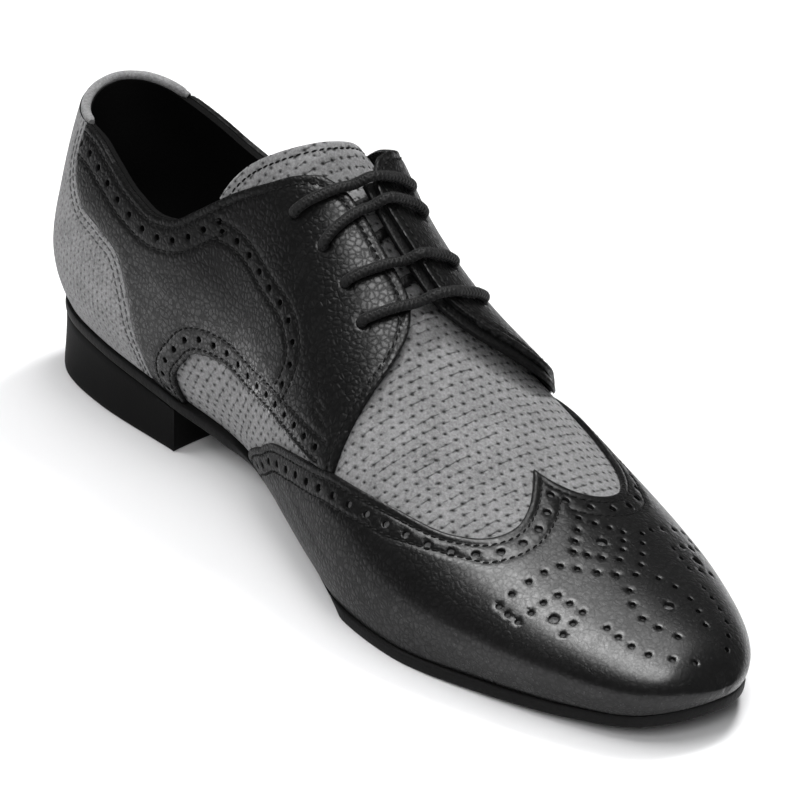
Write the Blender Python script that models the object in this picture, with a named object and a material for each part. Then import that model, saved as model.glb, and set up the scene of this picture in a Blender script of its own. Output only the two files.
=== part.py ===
# Left dance shoe: a laced wing-cap derby on a low heel, built on one last.
# Lengths are in millimetres up to the mesh, which is in metres.
# +X points to the toe, +Y to the wearer's outer side, and the flats of the sole stand on the ground.

import math

import bmesh
import bpy
import numpy as np
from mathutils.geometry import delaunay_2d_cdt

# Main sizes of the last
LENGTH = 290.0
BALL_WIDTH = 96.0
INSTEP_HEIGHT = 87.5
HEEL_HEIGHT = 26.2

# Thicknesses and clearances
GAP = 0.3
WALL = 2.0
CAP_THICKNESS = 1.4
QUARTER_THICKNESS = 1.8
TONGUE_THICKNESS = 2.0
INSOLE_THICKNESS = 2.6
SOLE_THICKNESS = 3.5
SEAM = 0.2
MESH_WELD = 1e-4
SMALL_STEP = 1e-3

# Heights over the last, whose surface is the outside of the cap and the counter
CAP_BASE = -CAP_THICKNESS
WALL_OUTSIDE = CAP_BASE - GAP
WALL_INSIDE = WALL_OUTSIDE - WALL
QUARTER_TOP = CAP_BASE + QUARTER_THICKNESS
UPRIGHT_LEVEL = 0.12

# Sole edge, heel and top piece
SOLE_EDGE_ROUND = 0.4
INSOLE_INSET = WALL + CAP_THICKNESS + 3 * GAP
HEEL_SHARE = 0.25
BREAST_HOLLOW = 2.5
BREAST_STEPS = 8
HEEL_WAIST = 0.3
TOP_PIECE_HEIGHT = 6.0
TOP_PIECE_STEP = 1.0
TOP_PIECE_ROUND = 0.8

# Collar binding, laces and eyelets
BINDING_RADIUS = 1.7
LACE_RADIUS = 1.4
EYELET_RADIUS = 2.6
LACE_CLEARANCE = 0.35
LACE_MARKS = (0, 0, 0.1, 0.25, 0.4, 0.5, 0.6, 0.75, 0.9, 1, 1)

# Free edges that stand off the last
INNER_FACING_REACH = 34.0
OUTER_FACING_REACH = 46.0
FACING_FADE = 1.5
TONGUE_RISE = 3.6
TONGUE_FREE_SHARE = 0.41
TONGUE_RISE_SHARE = 0.03
TONGUE_RISE_LEVEL = 0.36

# Spacing of the mesh
GIRTH = 110.0
STATION_STEPS = 42
LEVEL_STEPS = 22
OUTLINE_SPACING = 7.0
EYELET_SIDES = 10
PLAN_SPACING = 13.0
LACE_STEPS = 21
LACE_SIDES = 8
BINDING_SPACING = 8.0
BINDING_SIDES = 8
SHARP_ANGLE = math.radians(40)
METRE = 0.001
ALONG = (1.0, 0.0, 0.0)
UP = (0.0, 0.0, 1.0)

# Shape of the section: share of the level below the belly line, and how far end curves reach
BELLY_LEVEL = 0.22
HEEL_CURVE_SHARE = 0.35
TOE_CURVE_SHARE = 0.3
TOE_BULGE = 1.0
TOE_TRIM = 2.8
HEEL_CURVE_SPAN = 62.0
FOREFOOT_REST = SOLE_THICKNESS + GAP

# One row for each section from heel to toe.
# station: share of length; sole, rise: shares of heel height; crest: share of instep height;
# feather and belly: half widths as shares of ball width; dome: roundness over the instep.
SECTION_COLUMNS = (
    "station", "sole", "crest", "inner_feather", "outer_feather",
    "inner_belly", "outer_belly", "rise", "dome",
)
SECTIONS = np.array([
    (0.000, 1.000, 1.350, 0.000, 0.000, 0.000, 0.000, 0.84, 1.40),
    (0.034, 0.954, 1.350, 0.198, 0.202, 0.250, 0.227, 0.84, 1.35),
    (0.121, 0.870, 1.417, 0.262, 0.305, 0.333, 0.333, 0.76, 1.40),
    (0.241, 0.718, 1.470, 0.260, 0.326, 0.321, 0.372, 0.69, 1.70),
    (0.362, 0.519, 1.291, 0.252, 0.342, 0.301, 0.417, 0.65, 2.05),
    (0.421, 0.382, 1.149, 0.293, 0.368, 0.344, 0.438, 0.63, 2.10),
    (0.483, 0.248, 1.000, 0.348, 0.405, 0.405, 0.455, 0.61, 1.95),
    (0.538, 0.176, 0.866, 0.404, 0.441, 0.460, 0.471, 0.59, 1.90),
    (0.603, 0.145, 0.720, 0.473, 0.475, 0.508, 0.488, 0.57, 1.90),
    (0.707, 0.145, 0.529, 0.503, 0.476, 0.517, 0.486, 0.46, 1.90),
    (0.810, 0.187, 0.407, 0.432, 0.410, 0.452, 0.420, 0.38, 1.90),
    (0.903, 0.250, 0.330, 0.338, 0.293, 0.356, 0.306, 0.30, 1.90),
    (0.969, 0.335, 0.272, 0.232, 0.168, 0.243, 0.177, 0.22, 1.90),
    (1.000, 0.415, 0.170, 0.000, 0.000, 0.000, 0.000, 0.12, 1.90),
])

# Back curve of the heel: height share of its span, offset along the shoe
HEEL_CURVE = np.array([(0.0, -2.4), (0.33, -4.8), (0.66, -1.7), (1.0, 0.2), (1.5, 2.8)])

# Outlines on the last: station as a share of length, and level.
# Level 0 is the ridge, 1 the feather edge; minus is the inner side, plus the outer side.
BACK_LEVEL = 0.43
INNER_COLLAR = [(0.064, -0.466), (0.100, -0.478), (0.134, -0.505), (0.180, -0.546), (0.217, -0.561),
                (0.245, -0.546), (0.275, -0.497), (0.301, -0.442)]
OUTER_COLLAR = [(0.064, 0.466), (0.100, 0.515), (0.138, 0.558), (0.180, 0.585), (0.217, 0.588),
                (0.245, 0.570), (0.275, 0.522), (0.301, 0.460)]
INNER_FACING_TOP = [(0.301, -0.442), (0.359, -0.287), (0.388, -0.161)]
OUTER_FACING_TOP = [(0.301, 0.460), (0.340, 0.355), (0.368, 0.285), (0.385, 0.228)]

# Free edge of each facing, with the height that it stands off the last
INNER_FACING = [(0.388, -0.161, 1.5), (0.403, -0.092, 2.0), (0.424, -0.046, 2.0), (0.490, -0.040, 1.6),
                (0.524, -0.050, 1.8), (0.548, -0.103, 2.0), (0.563, -0.190, 1.6), (0.570, -0.320, 0.8),
                (0.573, -0.450, 0.0), (0.577, -0.558, 0.0)]
OUTER_FACING = [(0.385, 0.228, 5.4), (0.395, 0.160, 5.8), (0.405, 0.092, 5.6), (0.424, 0.044, 4.8),
                (0.490, 0.042, 4.2), (0.538, 0.056, 4.4), (0.566, 0.110, 4.6), (0.586, 0.190, 4.6),
                (0.602, 0.280, 3.6), (0.594, 0.420, 1.0), (0.577, 0.558, 0.0)]

# Edge of the wing cap: its rear part on either side, then each front part up to the peak
WING_REAR = [(0.371, 1.0), (0.400, 0.860), (0.441, 0.746), (0.497, 0.669), (0.551, 0.597)]
INNER_WING_FRONT = [(0.577, -0.558), (0.655, -0.460), (0.722, -0.371), (0.746, -0.307), (0.756, -0.201),
                    (0.745, -0.118), (0.722, -0.033), (0.711, 0.0)]
OUTER_WING_FRONT = [(0.577, 0.558), (0.655, 0.455), (0.722, 0.372), (0.755, 0.266), (0.760, 0.169),
                    (0.751, 0.094), (0.731, 0.034), (0.711, 0.0)]

# Lower border of a quarter over the side window, from the wing back to the feather edge
WINDOW_EDGE = [(0.551, 0.597), (0.450, 0.668), (0.386, 0.710), (0.336, 0.724), (0.289, 0.755),
               (0.266, 0.846), (0.262, 1.0)]

# Front border of the counter, from the collar down to the feather edge
COUNTER_EDGE = [(0.064, 0.466), (0.068, 0.560), (0.095, 0.626), (0.134, 0.645), (0.171, 0.672),
                (0.192, 0.732), (0.209, 0.843), (0.211, 1.0)]

# Throat of the upper under the facings
INNER_THROAT = [(0.301, -0.442), (0.345, -0.385), (0.400, -0.345), (0.466, -0.318), (0.518, -0.300),
                (0.538, -0.220), (0.541, 0.0)]
OUTER_THROAT = [(0.541, 0.0), (0.538, 0.220), (0.518, 0.300), (0.466, 0.318), (0.400, 0.345),
                (0.345, 0.385), (0.301, 0.460)]

TONGUE_TOP = [(0.303, -0.395), (0.326, -0.297), (0.343, -0.230), (0.358, -0.152), (0.368, -0.070),
              (0.373, 0.030), (0.371, 0.125), (0.363, 0.235), (0.342, 0.345), (0.318, 0.395)]
TONGUE_SIDE = [(0.318, 0.395), (0.400, 0.375), (0.500, 0.350), (0.560, 0.230), (0.575, 0.0),
               (0.560, -0.230), (0.500, -0.350), (0.400, -0.375), (0.303, -0.395)]

# Each lace bar: inner eyelet's station and level, station on the ridge, outer eyelet's station and level
LACE_BARS = [(0.401, -0.255, 0.423, 0.425, 0.195), (0.443, -0.220, 0.445, 0.450, 0.193),
             (0.482, -0.215, 0.498, 0.500, 0.200), (0.518, -0.228, 0.537, 0.534, 0.240)]

# Edge of the sole: station, reach past the feather edge, and undercut of its foot.
# On the inner side it is drawn in under the arch of the waist.
INNER_SOLE_EDGE = np.array([(0.0, 1.1, 0.0), (0.25, 1.1, 0.0), (0.33, 0.6, 0.0), (0.42, 0.0, 5.0),
                            (0.55, 0.0, 5.0), (0.62, 0.8, 0.0), (0.80, 1.1, 0.0), (1.0, 0.0, 0.0)])
OUTER_SOLE_EDGE = np.array([(0.0, 1.1, 0.0), (0.80, 1.1, 0.0), (1.0, 0.0, 0.0)])

# Colour and roughness of each material
MATERIALS = {
    "nubuck": ((0.30, 0.30, 0.30), 0.90),
    "leather": ((0.020, 0.020, 0.021), 0.38),
    "lace": ((0.012, 0.012, 0.012), 0.75),
    "lining": ((0.010, 0.010, 0.010), 0.85),
    "sole_edge": ((0.014, 0.014, 0.014), 0.55),
    "heel_stack": ((0.016, 0.016, 0.016), 0.50),
    "heel_rubber": ((0.012, 0.012, 0.012), 0.65),
}


def smooth_curve(places, values, at):
    """Cubic curve through a table of values."""
    places = np.asarray(places, float)
    values = np.asarray(values, float)
    steps = np.diff(places)
    slopes = np.diff(values) / steps
    tangents = np.empty_like(values)
    tangents[1:-1] = (slopes[:-1] * steps[1:] + slopes[1:] * steps[:-1]) / (steps[:-1] + steps[1:])
    tangents[0] = 1.5 * slopes[0] - 0.5 * tangents[1]
    tangents[-1] = 1.5 * slopes[-1] - 0.5 * tangents[-2]
    cell = np.clip(np.searchsorted(places, at) - 1, 0, len(places) - 2)
    part = (at - places[cell]) / steps[cell]
    rest = 1 - part
    return (values[cell] * (1 + 2 * part) * rest ** 2
            + steps[cell] * tangents[cell] * part * rest ** 2
            + values[cell + 1] * part ** 2 * (3 - 2 * part)
            - steps[cell] * tangents[cell + 1] * part ** 2 * rest)


def turn_of(share):
    """Station as a half turn, so that both ends of the last come out round."""
    return np.arccos(np.clip(1 - 2 * np.asarray(share, float), -1, 1)) / math.pi


def share_of(turn):
    return (1 - np.cos(math.pi * np.asarray(turn, float))) / 2


SECTION_TURNS = turn_of(SECTIONS[:, 0])


def section(name, turn):
    return smooth_curve(SECTION_TURNS, SECTIONS[:, SECTION_COLUMNS.index(name)], turn)


def sole_height(turn):
    """Height of the feather edge, flat where the forefoot rests."""
    profile = smooth_curve(SECTIONS[:, 0], SECTIONS[:, SECTION_COLUMNS.index("sole")], share_of(turn))
    return np.maximum(profile * HEEL_HEIGHT, FOREFOOT_REST)


def toe_part(share):
    """How far a station is into the curve of the toe, from 0 to 1 at the tip."""
    return np.clip((share - 1) / TOE_CURVE_SHARE + 1, 0, 1) ** 3


def last_point(turn, level):
    """Points of the last at half turn and level; past either end it goes on round the other side."""
    turn, level = (np.array(values, float) for values in np.broadcast_arrays(turn, level))
    level = np.where((turn < 0) | (turn > 1), -level, level)
    turn = 1 - np.abs(1 - np.abs(turn))
    inner = level < 0
    climb = 1 - np.abs(level)
    share = share_of(turn)
    feather = np.where(inner, section("inner_feather", turn), section("outer_feather", turn)) * BALL_WIDTH
    belly = np.where(inner, section("inner_belly", turn), section("outer_belly", turn)) * BALL_WIDTH
    bottom = sole_height(turn)
    belly_height = bottom + section("rise", turn) * HEEL_HEIGHT
    crest = section("crest", turn) * INSTEP_HEIGHT
    low = np.clip(climb / BELLY_LEVEL, 0, 1)
    angle = np.clip((climb - BELLY_LEVEL) / (1 - BELLY_LEVEL), 0, 1) * math.pi / 2
    under = climb < BELLY_LEVEL
    swell = 1 - (1 - low) ** 2
    dome = np.abs(np.cos(angle)) ** (2 / section("dome", turn))
    half = np.where(under, feather + (belly - feather) * swell, belly * dome)
    height = np.where(under, bottom + (belly_height - bottom) * low,
                      belly_height + (crest - belly_height) * np.sin(angle))
    span = np.clip((height - HEEL_HEIGHT) / HEEL_CURVE_SPAN, HEEL_CURVE[0, 0], HEEL_CURVE[-1, 0])
    heel = smooth_curve(HEEL_CURVE[:, 0], HEEL_CURVE[:, 1], span)
    bulge = TOE_BULGE * np.where(under, swell, np.cos(angle))
    along = (share * LENGTH
             + heel * np.clip(1 - share / HEEL_CURVE_SHARE, 0, 1) ** 2
             + (bulge - TOE_TRIM) * toe_part(share))
    return np.stack([along, np.where(inner, -half, half), height], -1)


def last_normal(turn, level, step=SMALL_STEP):
    """Direction outward from the last, turned level at the feather edge, where walls stand upright."""
    size = np.clip(np.abs(level), 2 * step, 1 - 2 * step)
    lean = np.clip((1 - np.abs(level)) / UPRIGHT_LEVEL, 0, 1)
    level = np.where(np.less(level, 0), -size, size)
    along = last_point(turn + step, level) - last_point(turn - step, level)
    across = last_point(turn, level + step) - last_point(turn, level - step)
    normal = np.cross(along, across)
    normal /= np.linalg.norm(normal, axis=-1, keepdims=True)
    normal[..., 2] *= lean
    return normal / np.linalg.norm(normal, axis=-1, keepdims=True)


def off_last(turn, level, height):
    """Points at a height over the last, never below its feather edge."""
    points = last_point(turn, level) + last_normal(turn, level) * np.asarray(height)[..., None]
    points[..., 2] = np.maximum(points[..., 2], sole_height(turn))
    return points


def chart(rows):
    """Flat chart of the last, for outlines: half turn and level, each scaled to a length."""
    rows = np.asarray(rows, float)
    return np.stack([turn_of(rows[:, 0]) * LENGTH, rows[:, 1] * GIRTH], -1)


def stroke(rows, spacing=OUTLINE_SPACING):
    """Smooth line through rows of an outline table, cut into even steps; further columns follow."""
    rows = np.asarray(rows, float)
    table = np.column_stack([chart(rows), rows[:, 2:]])
    travel = np.concatenate([[0], np.cumsum(np.linalg.norm(np.diff(table[:, :2], axis=0), axis=1))])
    count = max(2, round(travel[-1] / spacing) + 1)
    at = np.linspace(0, travel[-1], count)
    if len(rows) == 2:
        return np.column_stack([np.interp(at, travel, column) for column in table.T])
    return np.column_stack([smooth_curve(travel, column, at) for column in table.T])


def outline(*parts):
    """Closed outline from strokes that follow one another, turned to run anticlockwise."""
    loop = np.concatenate([part[:-1, :2] for part in parts])
    x, y = loop.T
    area = np.dot(x, np.roll(y, -1)) - np.dot(y, np.roll(x, -1))
    return loop if area > 0 else loop[::-1]


def eyelet_ring(share, level):
    turn = turn_of(share)
    step = SMALL_STEP
    along = np.linalg.norm(last_point(turn + step, level) - last_point(turn - step, level)) / (2 * step)
    across = np.linalg.norm(last_point(turn, level + step) - last_point(turn, level - step)) / (2 * step)
    angles = np.arange(EYELET_SIDES) * 2 * math.pi / EYELET_SIDES
    turns = turn + EYELET_RADIUS / along * np.cos(angles)
    levels = level + EYELET_RADIUS / across * np.sin(angles)
    return np.stack([turns * LENGTH, levels * GIRTH], -1)


def border(*rows):
    """Straight stretch along the chart's own edge, with no points between."""
    return chart(rows)


def on_side(sign, rows):
    return [(share, sign * level) for share, level in rows]


def panel_outlines():
    """Every outline on the last by name. Neighbours share their strokes, so they meet."""
    result = {}
    wings = {}
    sides = {"inner": (-1, INNER_COLLAR, INNER_FACING_TOP, INNER_FACING, INNER_WING_FRONT),
             "outer": (1, OUTER_COLLAR, OUTER_FACING_TOP, OUTER_FACING, OUTER_WING_FRONT)}
    for name, (sign, collar, facing_top, facing, front) in sides.items():
        window = on_side(sign, WINDOW_EDGE)
        counter = on_side(sign, COUNTER_EDGE)
        rear = on_side(sign, WING_REAR)
        tip = stroke([rear[-1], front[0]])
        wings[name] = np.concatenate([stroke(rear)[:-1], tip[:-1], stroke(front)])
        result["quarter_" + name] = outline(
            stroke(collar), stroke(facing_top), stroke(facing), tip[::-1], stroke(window),
            border(window[-1], counter[-1]), stroke(counter)[::-1])
        result["counter_" + name] = outline(
            stroke([(0, sign * BACK_LEVEL), collar[0]]), stroke(counter),
            border(counter[-1], (0, sign), (0, sign * BACK_LEVEL)))
    rear_end = WING_REAR[0][0]
    result["wing_cap"] = outline(
        wings["inner"], wings["outer"][::-1], border((rear_end, 1), (1, 1), (1, -1), (rear_end, -1)))
    result["opening"] = outline(
        stroke([(0, -BACK_LEVEL), INNER_COLLAR[0]]), stroke(INNER_COLLAR), stroke(INNER_THROAT),
        stroke(OUTER_THROAT), stroke(OUTER_COLLAR)[::-1], stroke([(0, BACK_LEVEL), OUTER_COLLAR[0]])[::-1],
        border((0, BACK_LEVEL), (0, -BACK_LEVEL)))
    result["tongue"] = outline(stroke(TONGUE_TOP), stroke(TONGUE_SIDE))
    for number, (in_share, in_level, _, out_share, out_level) in enumerate(LACE_BARS, 1):
        result[f"eyelet_inner_{number}"] = eyelet_ring(in_share, in_level)
        result[f"eyelet_outer_{number}"] = eyelet_ring(out_share, out_level)
    return result


def chart_mesh():
    """Triangles over the whole chart, and for each outline the triangles inside it."""
    outlines = panel_outlines()
    turns = np.linspace(0, LENGTH, STATION_STEPS + 1)
    levels = np.linspace(-GIRTH, GIRTH, LEVEL_STEPS + 1)
    frame = np.concatenate([
        np.column_stack([turns, np.full_like(turns, -GIRTH)]),
        np.column_stack([np.full_like(levels, LENGTH), levels])[1:],
        np.column_stack([turns, np.full_like(turns, GIRTH)])[-2::-1],
        np.column_stack([np.zeros_like(levels), levels])[-2:0:-1],
    ])
    drawn = np.concatenate(list(outlines.values()))
    grid = np.stack(np.meshgrid(turns[1:-1], levels[1:-1], indexing="ij"), -1).reshape(-1, 2)
    clear = np.min(np.linalg.norm(grid[:, None] - drawn[None], axis=-1), axis=1) > OUTLINE_SPACING / 2
    points = np.concatenate([frame, drawn, grid[clear]])
    loops = [list(range(len(frame)))]
    first = len(frame)
    for loop in outlines.values():
        loops.append(list(range(first, first + len(loop))))
        first += len(loop)
    places, _, triangles, _, _, origins = delaunay_2d_cdt([tuple(p) for p in points], [], loops, 1, MESH_WELD)
    names = ["all", *outlines]
    inside = {name: {k for k, made_from in enumerate(origins) if number in made_from}
              for number, name in enumerate(names)}
    places = np.array([tuple(place) for place in places]) / (LENGTH, GIRTH)
    corners = np.array([list(triangle) for triangle in triangles])
    return *weld_ends(places, corners), inside


def weld_ends(places, corners):
    """Join the two edges of the chart that meet at the heel's back, and those at the toe."""
    turn, level = places.T
    turn = np.where(turn < MESH_WELD / LENGTH, 0, np.where(turn > 1 - MESH_WELD / LENGTH, 1, turn))
    at_end = (turn == 0) | (turn == 1)
    level = np.where(at_end, np.abs(level), level)
    keys = np.round(np.stack([turn, level], -1), 5)
    _, kept, joined = np.unique(keys, axis=0, return_index=True, return_inverse=True)
    return turn[kept], level[kept], joined.reshape(-1)[corners]


def make_object(name, points, faces, material):
    """One named object in metres, smooth but for its edges."""
    mesh = bpy.data.meshes.new(name)
    mesh.from_pydata([tuple(point) for point in np.asarray(points) * METRE], [], faces)
    body = bmesh.new()
    body.from_mesh(mesh)
    bmesh.ops.dissolve_degenerate(body, edges=body.edges, dist=MESH_WELD * METRE)
    bmesh.ops.triangulate(body, faces=body.faces)
    body.to_mesh(mesh)
    body.free()
    mesh.materials.append(MADE_MATERIALS[material])
    mesh.shade_smooth()
    mesh.set_sharp_from_angle(angle=SHARP_ANGLE)
    made = bpy.data.objects.new(name, mesh)
    bpy.context.scene.collection.objects.link(made)
    return made


def shell(name, chosen, low, high, material, seam=0.0):
    """Closed wall between two heights over the last, over the chosen triangles of the chart."""
    faces = CORNERS[sorted(chosen)]
    used, faces = np.unique(faces, return_inverse=True)
    faces = faces.reshape(-1, 3)
    turn, level = TURNS[used], LEVELS[used]
    directed = {(face[k], face[(k + 1) % 3]) for face in faces for k in range(3)}
    rim = [(a, b) for a, b in sorted(directed) if (b, a) not in directed]
    middle = off_last(turn, level, np.zeros(len(used)))
    pull = np.zeros_like(middle)
    on_rim = {corner for edge in rim for corner in edge}
    centres = middle[faces].mean(axis=1)
    for face, centre in zip(faces, centres):
        for corner in face:
            if corner in on_rim:
                pull[corner] += centre - middle[corner]
    pull *= seam / np.maximum(np.linalg.norm(pull, axis=1, keepdims=True), 1e-9)
    inner = off_last(turn, level, np.broadcast_to(low, TURNS.shape)[used]) + pull
    outer = off_last(turn, level, np.broadcast_to(high, TURNS.shape)[used]) + pull
    count = len(used)
    solid = [tuple(face + count) for face in faces] + [tuple(face[::-1]) for face in faces]
    solid += [(b + count, a + count, a, b) for a, b in rim]
    solid = [[int(corner) for corner in face] for face in solid]
    return make_object(name, np.concatenate([inner, outer]), solid, material)


def facing_lift(turn, level):
    """Height by which the free edges of the facings stand off the last."""
    points = last_point(turn, level)
    lift = np.zeros(len(points))
    for rows, reach in ((INNER_FACING, INNER_FACING_REACH), (OUTER_FACING, OUTER_FACING_REACH)):
        line = stroke(rows, spacing=2.0)
        edge = last_point(line[:, 0] / LENGTH, line[:, 1] / GIRTH)
        apart = np.linalg.norm(points[:, None] - edge[None], axis=-1)
        nearest = apart.argmin(axis=1)
        fade = np.clip(1 - apart.min(axis=1) / reach, 0, 1) ** FACING_FADE
        same_side = np.sign(level) * rows[0][1] >= 0
        lift = np.maximum(lift, np.where(same_side, line[nearest, 2] * fade, 0))
    return lift


def tongue_height(turn, level):
    """Top of the tongue: under the wall of the upper, rising towards its free end."""
    rise = np.clip((TONGUE_FREE_SHARE - share_of(turn)) / TONGUE_RISE_SHARE, 0, 1)
    middle = np.clip(1 - (level / TONGUE_RISE_LEVEL) ** 2, 0, 1)
    return TONGUE_RISE * rise * middle + WALL_INSIDE - GAP


def tube(name, path, radius, sides, beside, material):
    """Round rod along a path that never runs along the direction beside it, closed at both ends."""
    path = np.asarray(path)
    ahead = np.gradient(path, axis=0)
    ahead /= np.linalg.norm(ahead, axis=1, keepdims=True)
    side = np.cross(ahead, beside)
    side /= np.linalg.norm(side, axis=1, keepdims=True)
    over = np.cross(ahead, side)
    angles = np.arange(sides) * 2 * math.pi / sides
    rings = path[:, None] + radius * (np.cos(angles)[None, :, None] * side[:, None]
                                      + np.sin(angles)[None, :, None] * over[:, None])
    faces = []
    for k in range(len(path) - 1):
        for a in range(sides):
            b = (a + 1) % sides
            faces.append((k * sides + a, k * sides + b, (k + 1) * sides + b, (k + 1) * sides + a))
    last = (len(path) - 1) * sides
    faces += [list(range(sides))[::-1], list(range(last, last + sides))]
    return make_object(name, rings.reshape(-1, 3), faces, material)


def lace_bar(name, in_share, in_level, ridge_share, out_share, out_level):
    """One bar of the lace, out of one eyelet, over both facings and into the other eyelet."""
    part = np.array(LACE_MARKS)
    level = in_level * (1 - part) + out_level * part
    bend = np.polyfit([in_level, 0, out_level], turn_of([in_share, ridge_share, out_share]), 2)
    turn = np.polyval(bend, level)
    top = QUARTER_TOP + facing_lift(turn, level)
    height = top + LACE_CLEARANCE + LACE_RADIUS
    height[[0, -1]] = top[[0, -1]] - QUARTER_THICKNESS - LACE_RADIUS / 2
    height[[1, -2]] = top[[1, -2]] + LACE_RADIUS / 2
    marks = off_last(turn, level, height)
    travel = np.concatenate([[0], np.cumsum(np.linalg.norm(np.diff(marks, axis=0), axis=1))])
    at = np.linspace(0, travel[-1], LACE_STEPS)
    path = np.stack([smooth_curve(travel, column, at) for column in marks.T], -1)
    return tube(name, path, LACE_RADIUS, LACE_SIDES, ALONG, "lace")


def collar_binding():
    """Padded roll on the collar's edge, round the heel from one quarter to the other."""
    inner = stroke([(0, -BACK_LEVEL), INNER_COLLAR[0]], BINDING_SPACING)
    outer = stroke([(0, BACK_LEVEL), OUTER_COLLAR[0]], BINDING_SPACING)
    line = np.concatenate([inner[:0:-1], outer])
    turn, level = line[:, 0] / LENGTH, line[:, 1] / GIRTH
    edge = off_last(turn, level, np.full(len(turn), WALL_INSIDE / 2))
    upward = last_point(turn, level * (1 - SMALL_STEP)) - last_point(turn, level)
    upward /= np.linalg.norm(upward, axis=1, keepdims=True)
    path = edge + upward * (BINDING_RADIUS + GAP)
    return tube("collar_binding", path, BINDING_RADIUS, BINDING_SIDES, UP, "nubuck")


def feather_loop():
    """The feather edge in plan, round from the heel along the inner side and back along the outer."""
    turn = np.linspace(0, 1, STATION_STEPS + 1)
    inner = last_point(turn, np.full_like(turn, -1))[:, :2]
    outer = last_point(turn, np.full_like(turn, 1))[:, :2]
    return np.concatenate([inner, outer[-2:0:-1]])


def grown(loop, distance):
    """A closed loop moved outward by a distance, or by one distance for each point."""
    ahead = np.roll(loop, -1, axis=0) - np.roll(loop, 1, axis=0)
    ahead /= np.linalg.norm(ahead, axis=1, keepdims=True)
    outward = np.stack([ahead[:, 1], -ahead[:, 0]], -1)
    return loop + outward * np.broadcast_to(distance, len(loop))[:, None]


def seat_height(along):
    """Height of the feather edge over a place along the shoe."""
    share = np.clip(along / LENGTH, 0, 1)
    shift = (HEEL_CURVE[0, 1] * np.clip(1 - share / HEEL_CURVE_SHARE, 0, 1) ** 2
             - TOE_TRIM * toe_part((along + TOE_TRIM) / LENGTH))
    return sole_height(turn_of(np.clip((along - shift) / LENGTH, 0, 1)))


def slab(name, loop, rings, material):
    """Closed plate over a plan outline. Rings run from bottom to top: height function, growth."""
    low, high = loop.min(axis=0), loop.max(axis=0)
    axes = [np.arange(a + PLAN_SPACING / 2, b, PLAN_SPACING) for a, b in zip(low, high)]
    grid = np.stack(np.meshgrid(*axes, indexing="ij"), -1).reshape(-1, 2)
    apart = np.min(np.linalg.norm(grid[:, None] - loop[None], axis=-1), axis=1)
    points = np.concatenate([loop, grid[apart > PLAN_SPACING / 2]])
    edge = list(range(len(loop)))
    places, _, caps, _, _, _ = delaunay_2d_cdt([tuple(p) for p in points], [], [edge], 1, MESH_WELD)
    places = np.array([tuple(place) for place in places])
    used = sorted({corner for cap in caps for corner in cap if corner >= len(loop)})
    place_of = {corner: k for k, corner in enumerate(used)}
    inner = places[used]
    solid = []
    faces = []
    count = len(loop)
    for height, growth in rings:
        ring = grown(loop, growth)
        solid.append(np.column_stack([ring, height(ring[:, 0])]))
    for height, _ in (rings[0], rings[-1]):
        solid.append(np.column_stack([inner, height(inner[:, 0])]))
    for k in range(len(rings) - 1):
        for a in range(count):
            b = (a + 1) % count
            faces.append((k * count + a, k * count + b, (k + 1) * count + b, (k + 1) * count + a))
    bottom = len(rings) * count
    top = bottom + len(inner)
    lid = (len(rings) - 1) * count
    for cap in caps:
        faces.append([corner + lid if corner < count else top + place_of[corner] for corner in cap])
        faces.append([corner if corner < count else bottom + place_of[corner] for corner in cap][::-1])
    return make_object(name, np.concatenate(solid), faces, material)


def sole_edge():
    """Reach and undercut of the sole's edge for each point of the feather loop."""
    share = np.clip(feather_loop()[:, 0] / LENGTH, 0, 1)
    on_inner = np.arange(len(share)) <= STATION_STEPS
    inner, outer = ([np.interp(share, table[:, 0], column) for column in table[:, 1:].T]
                    for table in (INNER_SOLE_EDGE, OUTER_SOLE_EDGE))
    return [np.where(on_inner, *pair) for pair in zip(inner, outer)]


def sole_loop():
    """Plan of the sole at its top edge."""
    reach, _ = sole_edge()
    return grown(feather_loop(), reach)


def below_seat(depth):
    """Height function at a depth under the feather edge."""
    return lambda along: seat_height(along) - depth


def at_height(height):
    """Height function that is flat."""
    return lambda along: np.full_like(along, height)


def outsole():
    _, undercut = sole_edge()
    rings = [(below_seat(GAP + SOLE_THICKNESS), -SOLE_EDGE_ROUND - undercut),
             (below_seat(GAP + SOLE_THICKNESS / 2), SOLE_EDGE_ROUND / 2 - undercut / 2),
             (below_seat(GAP), 0)]
    return slab("outsole", sole_loop(), rings, "sole_edge")


def insole():
    loop = grown(feather_loop(), -INSOLE_INSET)
    rings = [(below_seat(-GAP), 0), (below_seat(-GAP - INSOLE_THICKNESS), 0)]
    return slab("insole", loop, rings, "lining")


def heel_loop():
    """Plan of the heel: the sole's outline behind a slightly hollow breast."""
    loop = sole_loop()
    breast = HEEL_SHARE * LENGTH
    half = len(loop) // 2 + 1
    sides = []
    for side in (loop[:half], np.concatenate([loop[:1], loop[:half - 1:-1]])):
        kept = side[side[:, 0] < breast - PLAN_SPACING / 3]
        across = np.interp(breast, side[:half - 1, 0], side[:half - 1, 1])
        sides.append(np.concatenate([kept, [(breast, across)]]))
    inner, outer = sides
    part = np.linspace(0, 1, BREAST_STEPS)[1:-1]
    hollow = breast - BREAST_HOLLOW * 4 * part * (1 - part)
    front = np.column_stack([hollow, inner[-1, 1] * (1 - part) + outer[-1, 1] * part])
    return np.concatenate([inner, front, outer[:0:-1]])


def back_step(loop):
    """How far the heel flares out at its foot: most at the back, not at all at the breast."""
    return TOP_PIECE_STEP * np.clip(1 - loop[:, 0] / (HEEL_SHARE * LENGTH), 0, 1)


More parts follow.
